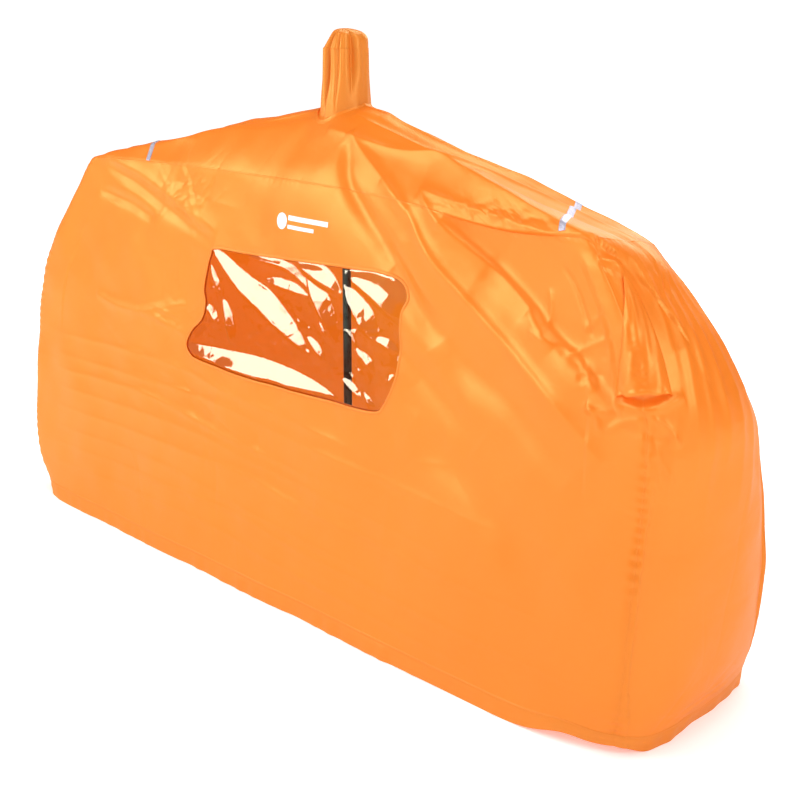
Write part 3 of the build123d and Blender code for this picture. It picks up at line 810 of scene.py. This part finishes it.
def build_seams(cloth, normal):
    """Corner, eave and shoulder seams; returns the pieces by the seam node that each stands for."""
    half = 0.0022
    lift = 0.0004
    made = []
    rows = np.linspace(hem_z / shoulder_z * WALL_ROWS, WALL_ROWS - 1.5, 620)
    names = ("front_left", "front_right", "back_right", "back_left")
    for name, corner in zip(names, CORNERS[:4]):
        path, across = seam_path(cloth, normal, rows, np.full(len(rows), float(corner)))
        piece = ribbon(name + "_corner_stitching", path, across, half, lift, shell)
        made.append((piece, name + "_corner_seam"))
    names = ("front_eave", "right_shoulder", "back_eave", "left_shoulder")
    for name, side in zip(names, (FRONT, RIGHT, BACK, LEFT)):
        columns = np.linspace(side.start, side.stop, (side.stop - side.start) * 2)
        path, across = seam_path(cloth, normal, np.full(len(columns), float(WALL_ROWS)), columns)
        made.append((ribbon(name + "_stitching", path, across, half, lift, shell), name + "_seam"))
    for piece, node in made:
        stands_for(piece, "seam_tape", node)
    return {node: piece for piece, node in made}


def hem_bands(cloth, normal):
    """Folded channel round the base: outer layer, rolled lower edge and inner layer."""
    top = hem_z / shoulder_z * WALL_ROWS
    section = [
        (1.00, 0.0000), (0.985, 0.0004), (0.90, 0.0008), (0.86, 0.0004), (0.82, 0.0010), (0.60, 0.0014),
        (0.30, 0.0020), (0.12, 0.0026), (0.03, 0.0022), (0.0, 0.0010), (0.0, -0.0010), (0.05, -0.0020),
        (0.30, -0.0016), (0.60, -0.0014), (0.95, -0.0012), (0.985, 0.0000),
    ]
    pieces = {}
    for name, side in (("front", FRONT), ("right", RIGHT), ("back", BACK), ("left", LEFT)):
        columns = np.linspace(side.start, side.stop, side.stop - side.start + 1)
        outward = sampled(normal, np.full(len(columns), 3.0), columns)
        outward[:, 2] = 0
        outward /= np.linalg.norm(outward, axis=1, keepdims=True)
        ripple = 0.0006 * waves(sampled(cloth, np.full(len(columns), 0.0), columns), 0.03, 71)
        rows = []
        for share, offset in section[::-1]:
            place = sampled(cloth, np.full(len(columns), share * top), columns)
            bulge = offset + ripple * (abs(offset) > 0.0011) * (share < 0.8)
            rows.append(place + outward * np.reshape(bulge, (-1, 1)))
        piece = grid_piece(name + "_hem_band", np.array(rows), hem)
        pieces[name] = stands_for(piece, "hem_fabric", name + "_hem_channel")
    return pieces


def roof_tree(cloth):
    """BVH tree of the roof and the tops of the walls."""
    rows_of_wall = 30
    return tree_of(cloth[WALL_ROWS - rows_of_wall :], closed=True)


def reflective_strip(name, cloth, sign):
    """Silver tape over the roof, lying in its folds. Both tapes lean towards -X at the back."""
    tree = roof_tree(cloth)
    middle = (strip_low.x + strip_high.x) / 2
    half = (strip_high.x - strip_low.x) / 2 * 0.92
    near_y = -0.10  # just in front of the tapes' front ends
    shift = 0.062  # both tapes' shift towards +X at near_y
    lean = 0.60  # how far they move towards -X for each metre towards the back
    ys = np.linspace(-0.097, 0.064, 150)
    xs = np.linspace(-half, half, 9)
    points = np.zeros((len(ys), len(xs), 3))
    for i, y in enumerate(ys):
        for j, offset in enumerate(xs):
            x = sign * (middle + offset) + shift - lean * (y - near_y)
            hit, facing = tree.ray_cast(Vector((x, y, 1)), Vector((0, 0, -1)))[:2]
            lift = 0.0009 if abs(offset) < half * 0.99 else 0.0002
            points[i, j] = hit + facing * lift
    if sign < 0:
        points = points[:, ::-1]
    piece = grid_piece(name + "_silver_tape", points.transpose(1, 0, 2)[::-1], silver)
    return stands_for(piece, "reflective_tape", name + "_reflective_strip")


def printed_mark(cloth):
    """Plain white disc beside two bars, printed on the front cloth."""
    depth = front_depth(cloth)
    radius = (print_high.z - print_low.z) / 2
    middle = (print_low.x + radius, print_low.z + radius)
    turn = np.linspace(0, 2 * math.pi, 48, endpoint=False)
    rings = np.linspace(0.02, 1, 14)[::-1]
    x = middle[0] + radius * rings[:, None] * np.cos(turn)
    z = middle[1] + radius * rings[:, None] * np.sin(turn)
    shapes = [("mark_disc", x, z, True)]
    for name, left, low, length, height in (
        ("mark_long_bar", 0.029, 0.62, 1.0, 0.30), ("mark_short_bar", 0.029, 0.12, 0.66, 0.23),
    ):
        span = print_high.x - (print_low.x + left)
        tall = print_high.z - print_low.z
        xs = print_low.x + left + np.linspace(0, span * length, 80)
        zs = print_low.z + tall * (low + np.linspace(0, height, 8))
        x, z = np.meshgrid(xs, zs)
        shapes.append((name, x, z, False))
    for name, x, z, closed in shapes:
        points = np.stack([x, depth(x, z) - 0.0004, z], -1)
        piece = grid_piece(name, points, ink, closed=closed)
        stands_for(piece, "white_print", "front_print")


# ---------------------------------------------------------------- corner vent and chimney
def vent_hood(cloth, normal):
    """Flattened sleeve sewn down the right front corner, open at its lower end."""
    corner = CORNERS[1]
    down = np.linspace(0, 1, 110)[::-1, None]
    across = np.linspace(-1, 1, 84)[None, :]
    heights = cloth[: WALL_ROWS + 1, corner, 2]
    top_z = 0.632
    mouth_z = 0.489
    top_row = np.interp(top_z, heights, np.arange(WALL_ROWS + 1))
    mouth_row = np.interp(mouth_z, heights, np.arange(WALL_ROWS + 1))
    arch = 7.0 * across**2 * (1 - down) ** 3
    lip_rise = 2.4 * (1 - across**2) * down**6
    row = top_row + (mouth_row - top_row) * down - arch + 2.0 * across * down**2 + lip_rise
    left = corner + 9 - 24.0 * down**0.8
    right = corner + 20 - 1.5 * down**0.5
    column = (left + right) / 2 + across * (right - left) / 2
    place = sampled(cloth, row, column)
    facing = sampled(normal, row, column)
    facing /= np.linalg.norm(facing, axis=-1, keepdims=True)
    bulge = (1 - np.abs(across) ** 2.6) ** 0.7
    lift = (0.0035 + 0.0052 * down**0.9) * bulge + 0.0009
    wrinkle = 0.0011 * np.sin(across * 5.0 + 2.2 * np.sin(down * 4.5))
    wrinkle = wrinkle + 0.0006 * np.sin(across * 12 + down * 9)
    lift = lift + wrinkle * bulge * step(down, 0.05, 0.3) * (1 - 0.5 * down)
    seam_gap = np.abs(column - corner - 2) * 0.0027
    pucker = 0.0005 * np.sin(down * 78 + 2 * np.sin(down * 23)) * np.exp(-((seam_gap / 0.008) ** 2))
    lift = lift + (pucker * step(down, 0.35, 0.7) - 0.0014 * np.exp(-((seam_gap / 0.0050) ** 2))) * bulge
    lift = lift + (0.0016 * step(down, 0.95, 0.98) - 0.0008 * step(down, 0.985, 1.0)) * bulge
    points = place + facing * lift[..., None]
    piece = grid_piece("vent_hood_cloth", points, shell)
    return stands_for(piece, "shell_fabric", "side_vent_hood")


# Pleats of the gathered tube: degrees from the right front corner's side, depth, half width in degrees and
# the share of the height where each one begins.
CHIMNEY_PLEATS = [
    (-58, 0.0120, 8, 0.00), (-38, 0.0022, 7, 0.10), (-21, 0.0065, 5, 0.10), (-4, 0.0020, 7, 0.40),
    (17, 0.0115, 11, 0.30), (50, 0.0024, 12, 0.20), (100, 0.0070, 11, 0.15), (138, 0.0040, 10, 0.30),
    (172, 0.0090, 11, 0.20), (212, 0.0045, 10, 0.30), (252, 0.0080, 11, 0.10), (278, 0.0030, 9, 0.40),
]
FACING_TURN = -43.0


def chimney_points(z, radius, share):
    """Gathered tube: its radius at each height and turn, and the share of its height that sets the pleats."""
    turn = np.linspace(0, 2 * math.pi, 300, endpoint=False)
    share = np.reshape(share, (-1, 1))
    r = np.array(radius) + 0 * turn
    for degrees, depth, width, start in CHIMNEY_PLEATS:
        middle = np.radians(degrees + FACING_TURN + 3 * np.sin(degrees + 3 * share))
        gap = (turn - middle + math.pi) % (2 * math.pi) - math.pi
        onset = step(share, start, min(start + 0.6, 1.0))
        wide = math.radians(width) * (0.4 + 0.6 * onset)
        r = r - depth * onset * np.exp(-1.2 * (np.sqrt((gap / wide) ** 2 + 0.1) - 0.316)) * r / chimney_radius
    return np.stack([r * np.cos(turn), r * np.sin(turn), np.reshape(z, (-1, 1)) + 0 * r], -1)


def chimney():
    """Gathered tube, and its crown, which is pinched shut to one side of the grip inside it."""
    neck = crown_low.z + 0.002
    share = np.linspace(0, 1, 100)
    sunk = 0.014
    z = roof_z - sunk + (neck - roof_z + sunk) * share
    neck_radius = 0.0372
    foot_radius = chimney_radius + 0.0006
    radius = foot_radius - (foot_radius - neck_radius) * share[:, None] ** 0.8
    tube_points = chimney_points(z, radius, share)
    ripple = 0.0006 * waves(tube_points * (1, 1, 0.2), 0.02, 81)
    tube_points += surface_normals(tube_points) * ripple[..., None]
    tube_points[..., 0] += 0.0035
    tube = grid_piece("chimney_cloth", tube_points, gathered, closed=True)
    stands_for(tube, "shell_fabric", "chimney_tube")
    rise = np.sin(np.linspace(0, 1, 80) * math.pi / 2)[:, None]
    turn = np.linspace(0, 2 * math.pi, 300, endpoint=False)
    pinched = 0.5 - 0.5 * np.sin(turn - math.radians(FACING_TURN))
    full_side = (1 - rise**4.5) ** 0.62
    pinched_side = (1 - 0.50 * rise) * (1 - rise**16) ** 0.5
    crown_radius = neck_radius * (full_side + (pinched_side - full_side) * pinched)
    top = chimney_z + 0.0115
    crown_z = neck + (top - neck) * rise
    crown_points = chimney_points(crown_z, crown_radius, 1 + 0 * rise)
    tilt = crown_points[..., 0] * math.cos(math.radians(FACING_TURN)) + crown_points[..., 1] * math.sin(
        math.radians(FACING_TURN)
    )
    crown_points[..., 2] -= 0.0030 * rise**8 * np.clip(tilt / 0.02, 0, 1)
    crown_points[..., 0] += 0.0035
    crown = grid_piece("crown_cloth", crown_points, gathered, closed=True)
    stands_for(crown, "shell_fabric", "chimney_crown")
    return [tube, crown]


def chimney_base(cloth):
    """Seam tape round the chimney's foot, and the patch inside the roof."""
    tree = roof_tree(cloth)
    turn = np.linspace(0, 2 * math.pi, 240, endpoint=False)

    def ring(radius, lift):
        points = []
        for a in turn:
            x, y = radius * math.cos(a), radius * math.sin(a)
            hit = tree.ray_cast(Vector((x, y, 1)), Vector((0, 0, -1)))[0]
            points.append((x, y, (hit.z if hit is not None else roof_z) + lift))
        return np.array(points)

    outer = chimney_radius + 0.0062
    stitched = 0.0003 * np.abs(np.sin(turn * 40))
    rings = [ring(outer, -0.0004), ring(outer - 0.0003, 0.0001), ring(outer - 0.0014, 0.0003)]
    rings[2][:, 2] += stitched
    rings.append(ring(outer - 0.0024, 0.0009))
    high = rings[3] * (1, 1, 0) * 0.985
    high[:, 2] = rings[3][:, 2] + 0.0020
    rings.append(high)
    tape = grid_piece("chimney_foot_tape", np.array(rings), shell, closed=True)
    stands_for(tape, "seam_tape", "chimney_seam")
    patch_rings = [ring(radius, -0.0030) for radius in np.linspace(0.062, chimney_radius + 0.001, 8)]
    patch = grid_piece("apex_patch_cloth", np.array(patch_rings), hem, closed=True)
    stands_for(patch, "seam_tape", "apex_patch")
    return [tape, patch]


# ---------------------------------------------------------------- seats and eyelets
def seat_cloth(name, body, sign):
    """Soft flap lying on the ground, hinged at the end hem."""
    rows, columns = 100, 112
    length = seat_high.x - seat_low.x
    half = seat_high.y
    along = np.linspace(0, 1, columns)[None, :]
    across = np.linspace(-1, 1, rows)[:, None]
    corner = 0.040
    near_tip = np.clip(1 - along * length / corner, 0, 1)
    narrow = half - corner * (1 - np.sqrt(1 - near_tip**2))
    x = seat_low.x + along * length + 0 * across
    y = across * narrow
    place = np.stack([x, y, 0 * x], -1)
    height = 0.0022 * (waves(place, 0.12, 91) * 0.5 + 0.5)
    crumple(height, x, y, (seat_low.x + length / 2, 0), (length / 2, half), 46, 0.06, 0.0016, 0.005, 92)
    z = np.clip(height, 0.0008, 0.006)
    points = np.stack([sign * x, y, z], -1)
    if sign < 0:
        points = points[:, ::-1]
    piece = grid_piece(name + "_seat_cloth", points, seat, body=body)
    return stands_for(piece, "seat_fabric", name + "_seat_panel")


def eyelets():
    """Rolled brass rings set in the back hem near its left end."""
    low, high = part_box("drawcord_eyelets")
    radius = (high.z - low.z) / 2
    turn = np.linspace(0, 2 * math.pi, 48, endpoint=False)
    for name, x in (("a", low.x + radius), ("b", high.x - radius)):
        depth = base_half - slope * (low.z + radius) - 0.0046
        rings = []
        for a in np.linspace(0, 2 * math.pi, 15):
            r = radius * 0.72 + radius * 0.26 * math.cos(a)
            y = depth + 0.0011 * math.sin(a)
            heights = low.z + radius + r * np.sin(turn)
            rings.append(np.stack([x - r * np.cos(turn), 0 * turn + y, heights], -1))
        piece = grid_piece("eyelet_" + name, np.array(rings), brass, closed=True)
        stands_for(piece, "eyelet_metal", "drawcord_eyelets")


# ---------------------------------------------------------------- materials
def new_material(name):
    """An empty node material, with its tree and a function that adds a node and sets its inputs."""
    material = bpy.data.materials.new(name)
    material.use_nodes = True
    tree = material.node_tree
    tree.nodes.clear()
    output = tree.nodes.new("ShaderNodeOutputMaterial")

    def add(kind, **inputs):
        node = tree.nodes.new("ShaderNode" + kind)
        for key, value in inputs.items():
            socket = node.inputs[key.replace("_", " ")]
            if isinstance(value, bpy.types.NodeSocket):
                tree.links.new(value, socket)
            else:
                socket.default_value = value
        return node

    return material, tree, output, add


def mixed_colour(add, factor, low, high):
    node = add("Mix")
    node.data_type = "RGBA"
    node.inputs[0].default_value = 0.5
    node.id_data.links.new(factor, node.inputs[0])
    node.inputs[6].default_value = (*low, 1)
    node.inputs[7].default_value = (*high, 1)
    return node.outputs[2]


def weave_height(add, pitch, amount):
    """Height of a plain weave from the cloth map, in shares of 1."""
    where = add("UVMap")
    where.uv_map = "cloth"
    waves_out = []
    for direction in ("X", "Y"):
        wave = add("TexWave", Vector=where.outputs["UV"], Scale=0.314 / pitch, Distortion=0.0)
        wave.bands_direction = direction
        waves_out.append(wave.outputs["Fac"])
    product = add("Math")
    product.operation = "MULTIPLY"
    for k in (0, 1):
        product.id_data.links.new(waves_out[k], product.inputs[k])
    scaled = add("Math")
    scaled.operation = "MULTIPLY"
    scaled.id_data.links.new(product.outputs[0], scaled.inputs[0])
    scaled.inputs[1].default_value = amount
    return scaled.outputs[0]


def noise(add, scale, detail=3.0, roughness=0.5):
    place = add("TexCoord")
    return add("TexNoise", Vector=place.outputs["Object"], Scale=scale, Detail=detail, Roughness=roughness)


def cloth_material(name, colour, deep, glint, roughness, see_through, shine=0.10, weave=0.0011):
    """Thin coated cloth: tinted satin face, light that comes through it, weave and fine creases."""
    material, tree, output, add = new_material(name)
    mottle = noise(add, 5.0, 4.0)
    darker = [c * 0.94 for c in colour]
    lighter = [min(c * 1.05, 1) for c in colour]
    base = mixed_colour(add, mottle.outputs["Fac"], darker, lighter)
    fine = noise(add, 95.0, 4.0, 0.55)
    total = add("Math")
    total.operation = "ADD"
    tree.links.new(weave_height(add, weave, 0.25), total.inputs[0])
    tree.links.new(fine.outputs["Fac"], total.inputs[1])
    bump = add("Bump", Strength=0.20, Distance=0.0016, Height=total.outputs[0])
    rough = add("MapRange", Value=mottle.outputs["Fac"])
    rough.inputs["To Min"].default_value = roughness - 0.05
    rough.inputs["To Max"].default_value = roughness + 0.06
    face = add(
        "BsdfPrincipled", Base_Color=base, Roughness=rough.outputs["Result"], Normal=bump.outputs["Normal"]
    )
    face.inputs["Specular IOR Level"].default_value = 0.10
    through = add("BsdfTranslucent", Color=(*deep, 1), Normal=bump.outputs["Normal"])
    mix = add("MixShader", Fac=see_through)
    tree.links.new(face.outputs[0], mix.inputs[1])
    tree.links.new(through.outputs[0], mix.inputs[2])
    sheen = add(
        "BsdfGlossy", Color=(*glint, 1), Roughness=rough.outputs["Result"], Normal=bump.outputs["Normal"]
    )
    coated = add("MixShader", Fac=shine)
    tree.links.new(mix.outputs[0], coated.inputs[1])
    tree.links.new(sheen.outputs[0], coated.inputs[2])
    tree.links.new(coated.outputs[0], output.inputs["Surface"])
    return material


def clear_film_material():
    """Clear flexible film. Its reflections are strengthened where it tilts upward, to suit one view.

    Real film reflects by the angle it is seen at; here the share of the sharp reflection grows with the
    tilt instead, and the see-through tint is set so that the cloth behind it looks the right colour.
    """
    material, tree, output, add = new_material("clear_film")
    smear = noise(add, 30.0, 3.0)
    bump = add("Bump", Strength=0.06, Distance=0.0008, Height=smear.outputs["Fac"])
    through = add("BsdfTransparent", Color=(0.84, 0.98, 0.90, 1))
    shine = add("BsdfGlossy", Color=(1.0, 0.89, 0.70, 1), Roughness=0.05, Normal=bump.outputs["Normal"])
    way = add("SeparateXYZ", Vector=bump.outputs["Normal"])
    share = add("MapRange", Value=way.outputs["Z"])
    share.inputs["From Min"].default_value = 0.20
    share.inputs["From Max"].default_value = 0.38
    share.inputs["To Min"].default_value = 0.016
    share.inputs["To Max"].default_value = 0.15
    mix = add("MixShader")
    tree.links.new(share.outputs["Result"], mix.inputs["Fac"])
    tree.links.new(through.outputs[0], mix.inputs[1])
    tree.links.new(shine.outputs[0], mix.inputs[2])
    tree.links.new(mix.outputs[0], output.inputs["Surface"])
    return material


def solid_material(name, colour, roughness, metallic=0.0, grain=0.0, scale=300.0, vary=0.15, stretch=None):
    """Moulded, printed or metal surface with its own grain and slight colour change."""
    material, tree, output, add = new_material(name)
    place = add("TexCoord")
    vector = place.outputs["Object"]
    if stretch:
        mapping = add("Mapping", Vector=vector)
        mapping.inputs["Scale"].default_value = stretch
        vector = mapping.outputs["Vector"]
    texture = add("TexNoise", Vector=vector, Scale=scale, Detail=4.0)
    wear = add("TexNoise", Vector=place.outputs["Object"], Scale=24.0, Detail=5.0)
    base = mixed_colour(
        add, wear.outputs["Fac"], [c * (1 - vary) for c in colour], [min(c * (1 + vary), 1) for c in colour]
    )
    rough = add("MapRange", Value=wear.outputs["Fac"])
    rough.inputs["To Min"].default_value = max(roughness - 0.08, 0.03)
    rough.inputs["To Max"].default_value = min(roughness + 0.10, 1.0)
    bump = add("Bump", Strength=grain, Distance=0.0005, Height=texture.outputs["Fac"])
    face = add(
        "BsdfPrincipled", Base_Color=base, Roughness=rough.outputs["Result"], Normal=bump.outputs["Normal"]
    )
    face.inputs["Metallic"].default_value = metallic
    tree.links.new(face.outputs[0], output.inputs["Surface"])
    return material


def silver_material():
    """Retro-reflective tape: pale grey with a fine honeycomb of beads."""
    material, tree, output, add = new_material("silver_tape")
    where = add("UVMap")
    where.uv_map = "cloth"
    cells = add("TexVoronoi", Vector=where.outputs["UV"], Scale=700.0)
    base = mixed_colour(add, cells.outputs["Distance"], (0.60, 0.57, 0.66), (0.30, 0.29, 0.38))
    bump = add("Bump", Strength=0.3, Distance=0.0003, Height=cells.outputs["Distance"])
    face = add(
        "BsdfPrincipled", Base_Color=base, Roughness=0.38, Metallic=0.35, Normal=bump.outputs["Normal"]
    )
    tree.links.new(face.outputs[0], output.inputs["Surface"])
    return material


GLINT = (1.0, 0.66, 0.20)
shell = cloth_material("shell_nylon", (0.94, 0.290, 0.026), (1.0, 0.240, 0.014), GLINT, 0.31, 0.36)
# Chimney cloth: the same nylon as the shell. Its base colour is darkened as painted shade of the doubled,
# gathered layers, and it lets through a smaller real share of light.
gathered = cloth_material("gathered_nylon_painted_shade", (0.83, 0.245, 0.028), (1.0, 0.22, 0.014), GLINT, 0.33, 0.20)
seam = cloth_material("seam_nylon", (0.92, 0.245, 0.026), (0.95, 0.18, 0.014), GLINT, 0.42, 0.24)
hem = cloth_material("hem_nylon", (0.93, 0.255, 0.026), (0.95, 0.20, 0.014), GLINT, 0.40, 0.22)
seat = cloth_material(
    "seat_nylon", (0.030, 0.031, 0.035), (0.02, 0.02, 0.02), (0.5, 0.5, 0.5), 0.50, 0.04, 0.04
)
film_material = clear_film_material()
silver = silver_material()
ink = solid_material("white_ink", (0.90, 0.90, 0.88), 0.55, grain=0.25, scale=600.0, vary=0.03)
brass = solid_material("rolled_brass", (0.66, 0.52, 0.26), 0.30, metallic=1.0, grain=0.15, scale=200.0)
foam = solid_material("grip_foam", (0.028, 0.028, 0.030), 0.85, grain=0.9, scale=520.0, vary=0.3)
plastic = solid_material(
    "black_nylon_plastic", (0.020, 0.020, 0.022), 0.48, grain=0.35, scale=420.0, vary=0.3
)
lever = solid_material("orange_plastic", (0.70, 0.16, 0.020), 0.34, grain=0.15, scale=300.0)
anodised = solid_material(
    "black_anodised_tube",
    (0.035, 0.032, 0.032),
    0.30,
    metallic=0.8,
    grain=0.25,
    scale=60.0,
    stretch=(18, 18, 1),
)
steel = solid_material(
    "turned_steel", (0.55, 0.55, 0.57), 0.28, metallic=1.0, grain=0.2, scale=90.0, stretch=(1, 1, 20)
)

NODE_MATERIALS = {
    "pole_grip": foam, "grip_cap": plastic, "upper_tube": anodised, "middle_tube": anodised,
    "lower_tube": anodised, "upper_lock_clamp": plastic, "lower_lock_clamp": plastic,
    "upper_lock_lever": lever, "lower_lock_lever": lever, "upper_lock_pin": steel, "lower_lock_pin": steel,
    "upper_lock_screw": steel, "lower_lock_screw": steel, "middle_guide_bush": plastic,
    "lower_guide_bush": plastic, "basket": plastic, "tip_ferrule": plastic, "ground_tip": steel,
}


def dress_cad_nodes():
    for name, material in NODE_MATERIALS.items():
        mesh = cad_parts[name].data
        mesh.materials.clear()
        mesh.materials.append(material)


# ---------------------------------------------------------------- floor, light and camera
def floor_material():
    """Plain white floor, lit from below like a studio's light table, more so away from its middle."""
    material, tree, output, add = new_material("pale_floor")
    place = add("TexCoord")
    away = add("VectorMath")
    away.operation = "LENGTH"
    tree.links.new(place.outputs["Object"], away.inputs[0])
    glow = add("MapRange", Value=away.outputs["Value"])
    glow.interpolation_type = "SMOOTHSTEP"
    for socket, value in (("From Min", 0.6), ("From Max", 3.2), ("To Min", 0.36), ("To Max", 0.90)):
        glow.inputs[socket].default_value = value
    face = add("BsdfPrincipled", Base_Color=(0.90, 0.90, 0.90, 1), Roughness=0.9)
    face.inputs["Emission Color"].default_value = (1, 1, 1, 1)
    tree.links.new(glow.outputs["Result"], face.inputs["Emission Strength"])
    tree.links.new(face.outputs[0], output.inputs["Surface"])
    return material


def studio():
    """Plain white floor, white surroundings and large soft lamps."""
    floor_mesh = bpy.data.meshes.new("floor")
    reach = 60.0
    floor_mesh.from_pydata(
        [(-reach, -reach, 0), (reach, -reach, 0), (reach, reach, 0), (-reach, reach, 0)], [], [(0, 1, 2, 3)]
    )
    floor = bpy.data.objects.new("floor", floor_mesh)
    bpy.context.scene.collection.objects.link(floor)
    floor_mesh.materials.append(floor_material())

    world = bpy.data.worlds.new("studio")
    bpy.context.scene.world = world
    world.use_nodes = True
    nodes, links = world.node_tree.nodes, world.node_tree.links
    seen = nodes["Background"]
    seen.inputs["Color"].default_value = (1.0, 1.0, 1.0, 1)
    seen.inputs["Strength"].default_value = 1.05
    fill = nodes.new("ShaderNodeBackground")
    fill.inputs["Color"].default_value = (1.0, 1.0, 1.0, 1)
    fill.inputs["Strength"].default_value = 0.24
    path = nodes.new("ShaderNodeLightPath")
    mix = nodes.new("ShaderNodeMixShader")
    links.new(path.outputs["Is Camera Ray"], mix.inputs["Fac"])
    links.new(fill.outputs[0], mix.inputs[1])
    links.new(seen.outputs[0], mix.inputs[2])
    links.new(mix.outputs[0], nodes["World Output"].inputs["Surface"])

    for name, place, aim, size, power in (
        ("top_softbox", (0.9, -0.4, 3.0), (0.0, 0.0, 0.5), (1.5, 1.1), 26.0),
        ("ridge_softbox", (-0.9, 1.2, 2.7), (0.2, 0.0, 0.7), (1.0, 0.8), 20.0),
        ("front_softbox", (-1.95, -2.44, 1.75), (0.0, -0.1, 0.45), (2.6, 1.5), 83.0),
        ("back_softbox", (-0.6, 3.0, 2.0), (0.0, 0.0, 0.5), (2.4, 1.6), 51.0),
        ("end_softbox", (2.9, -0.5, 1.8), (0.5, 0.0, 0.4), (1.4, 1.2), 33.0),
    ):
        lamp = bpy.data.lights.new(name, "AREA")
        lamp.shape = "RECTANGLE"
        lamp.size, lamp.size_y = size
        lamp.energy = power
        body = bpy.data.objects.new(name, lamp)
        body.location = place
        body.rotation_euler = (Vector(aim) - Vector(place)).to_track_quat("-Z", "Y").to_euler()
        bpy.context.scene.collection.objects.link(body)
    bpy.context.scene.view_settings.view_transform = "Standard"


def camera():
    """The camera stands off the right front corner, looking slightly down."""
    azimuth, pitch, distance = math.radians(46.95), math.radians(16.58), 2.061
    target = Vector((0.327, -0.186, 0.42))
    back = Vector(
        (math.sin(azimuth) * math.cos(pitch), -math.cos(azimuth) * math.cos(pitch), math.sin(pitch))
    )
    data = bpy.data.cameras.new("camera")
    sensor_mm, lens_mm = 36.0, 65.5
    data.sensor_width = sensor_mm
    data.lens = lens_mm
    body = bpy.data.objects.new("camera", data)
    body.location = target + back * distance
    body.rotation_euler = (-back).to_track_quat("-Z", "Y").to_euler()
    bpy.context.scene.collection.objects.link(body)
    bpy.context.scene.camera = body


# ---------------------------------------------------------------- build
studio()
camera()
dress_cad_nodes()
cloth, cloth_normal = shelter_cloth()
opening = window_edge()
panels = build_panels(cloth, opening)
film = clear_film(cloth, opening)
window_folds = window_hem(cloth, opening)
seams = build_seams(cloth, cloth_normal)
hems = hem_bands(cloth, cloth_normal)
strips = [reflective_strip(name, cloth, sign) for name, sign in (("right", 1), ("left", -1))]
printed_mark(cloth)
hood = vent_hood(cloth, cloth_normal)
chimney_pieces = chimney()
base_pieces = chimney_base(cloth)
seats = [seat_cloth("right", "right_seat", 1), seat_cloth("left", "left_seat", -1)]
eyelets()
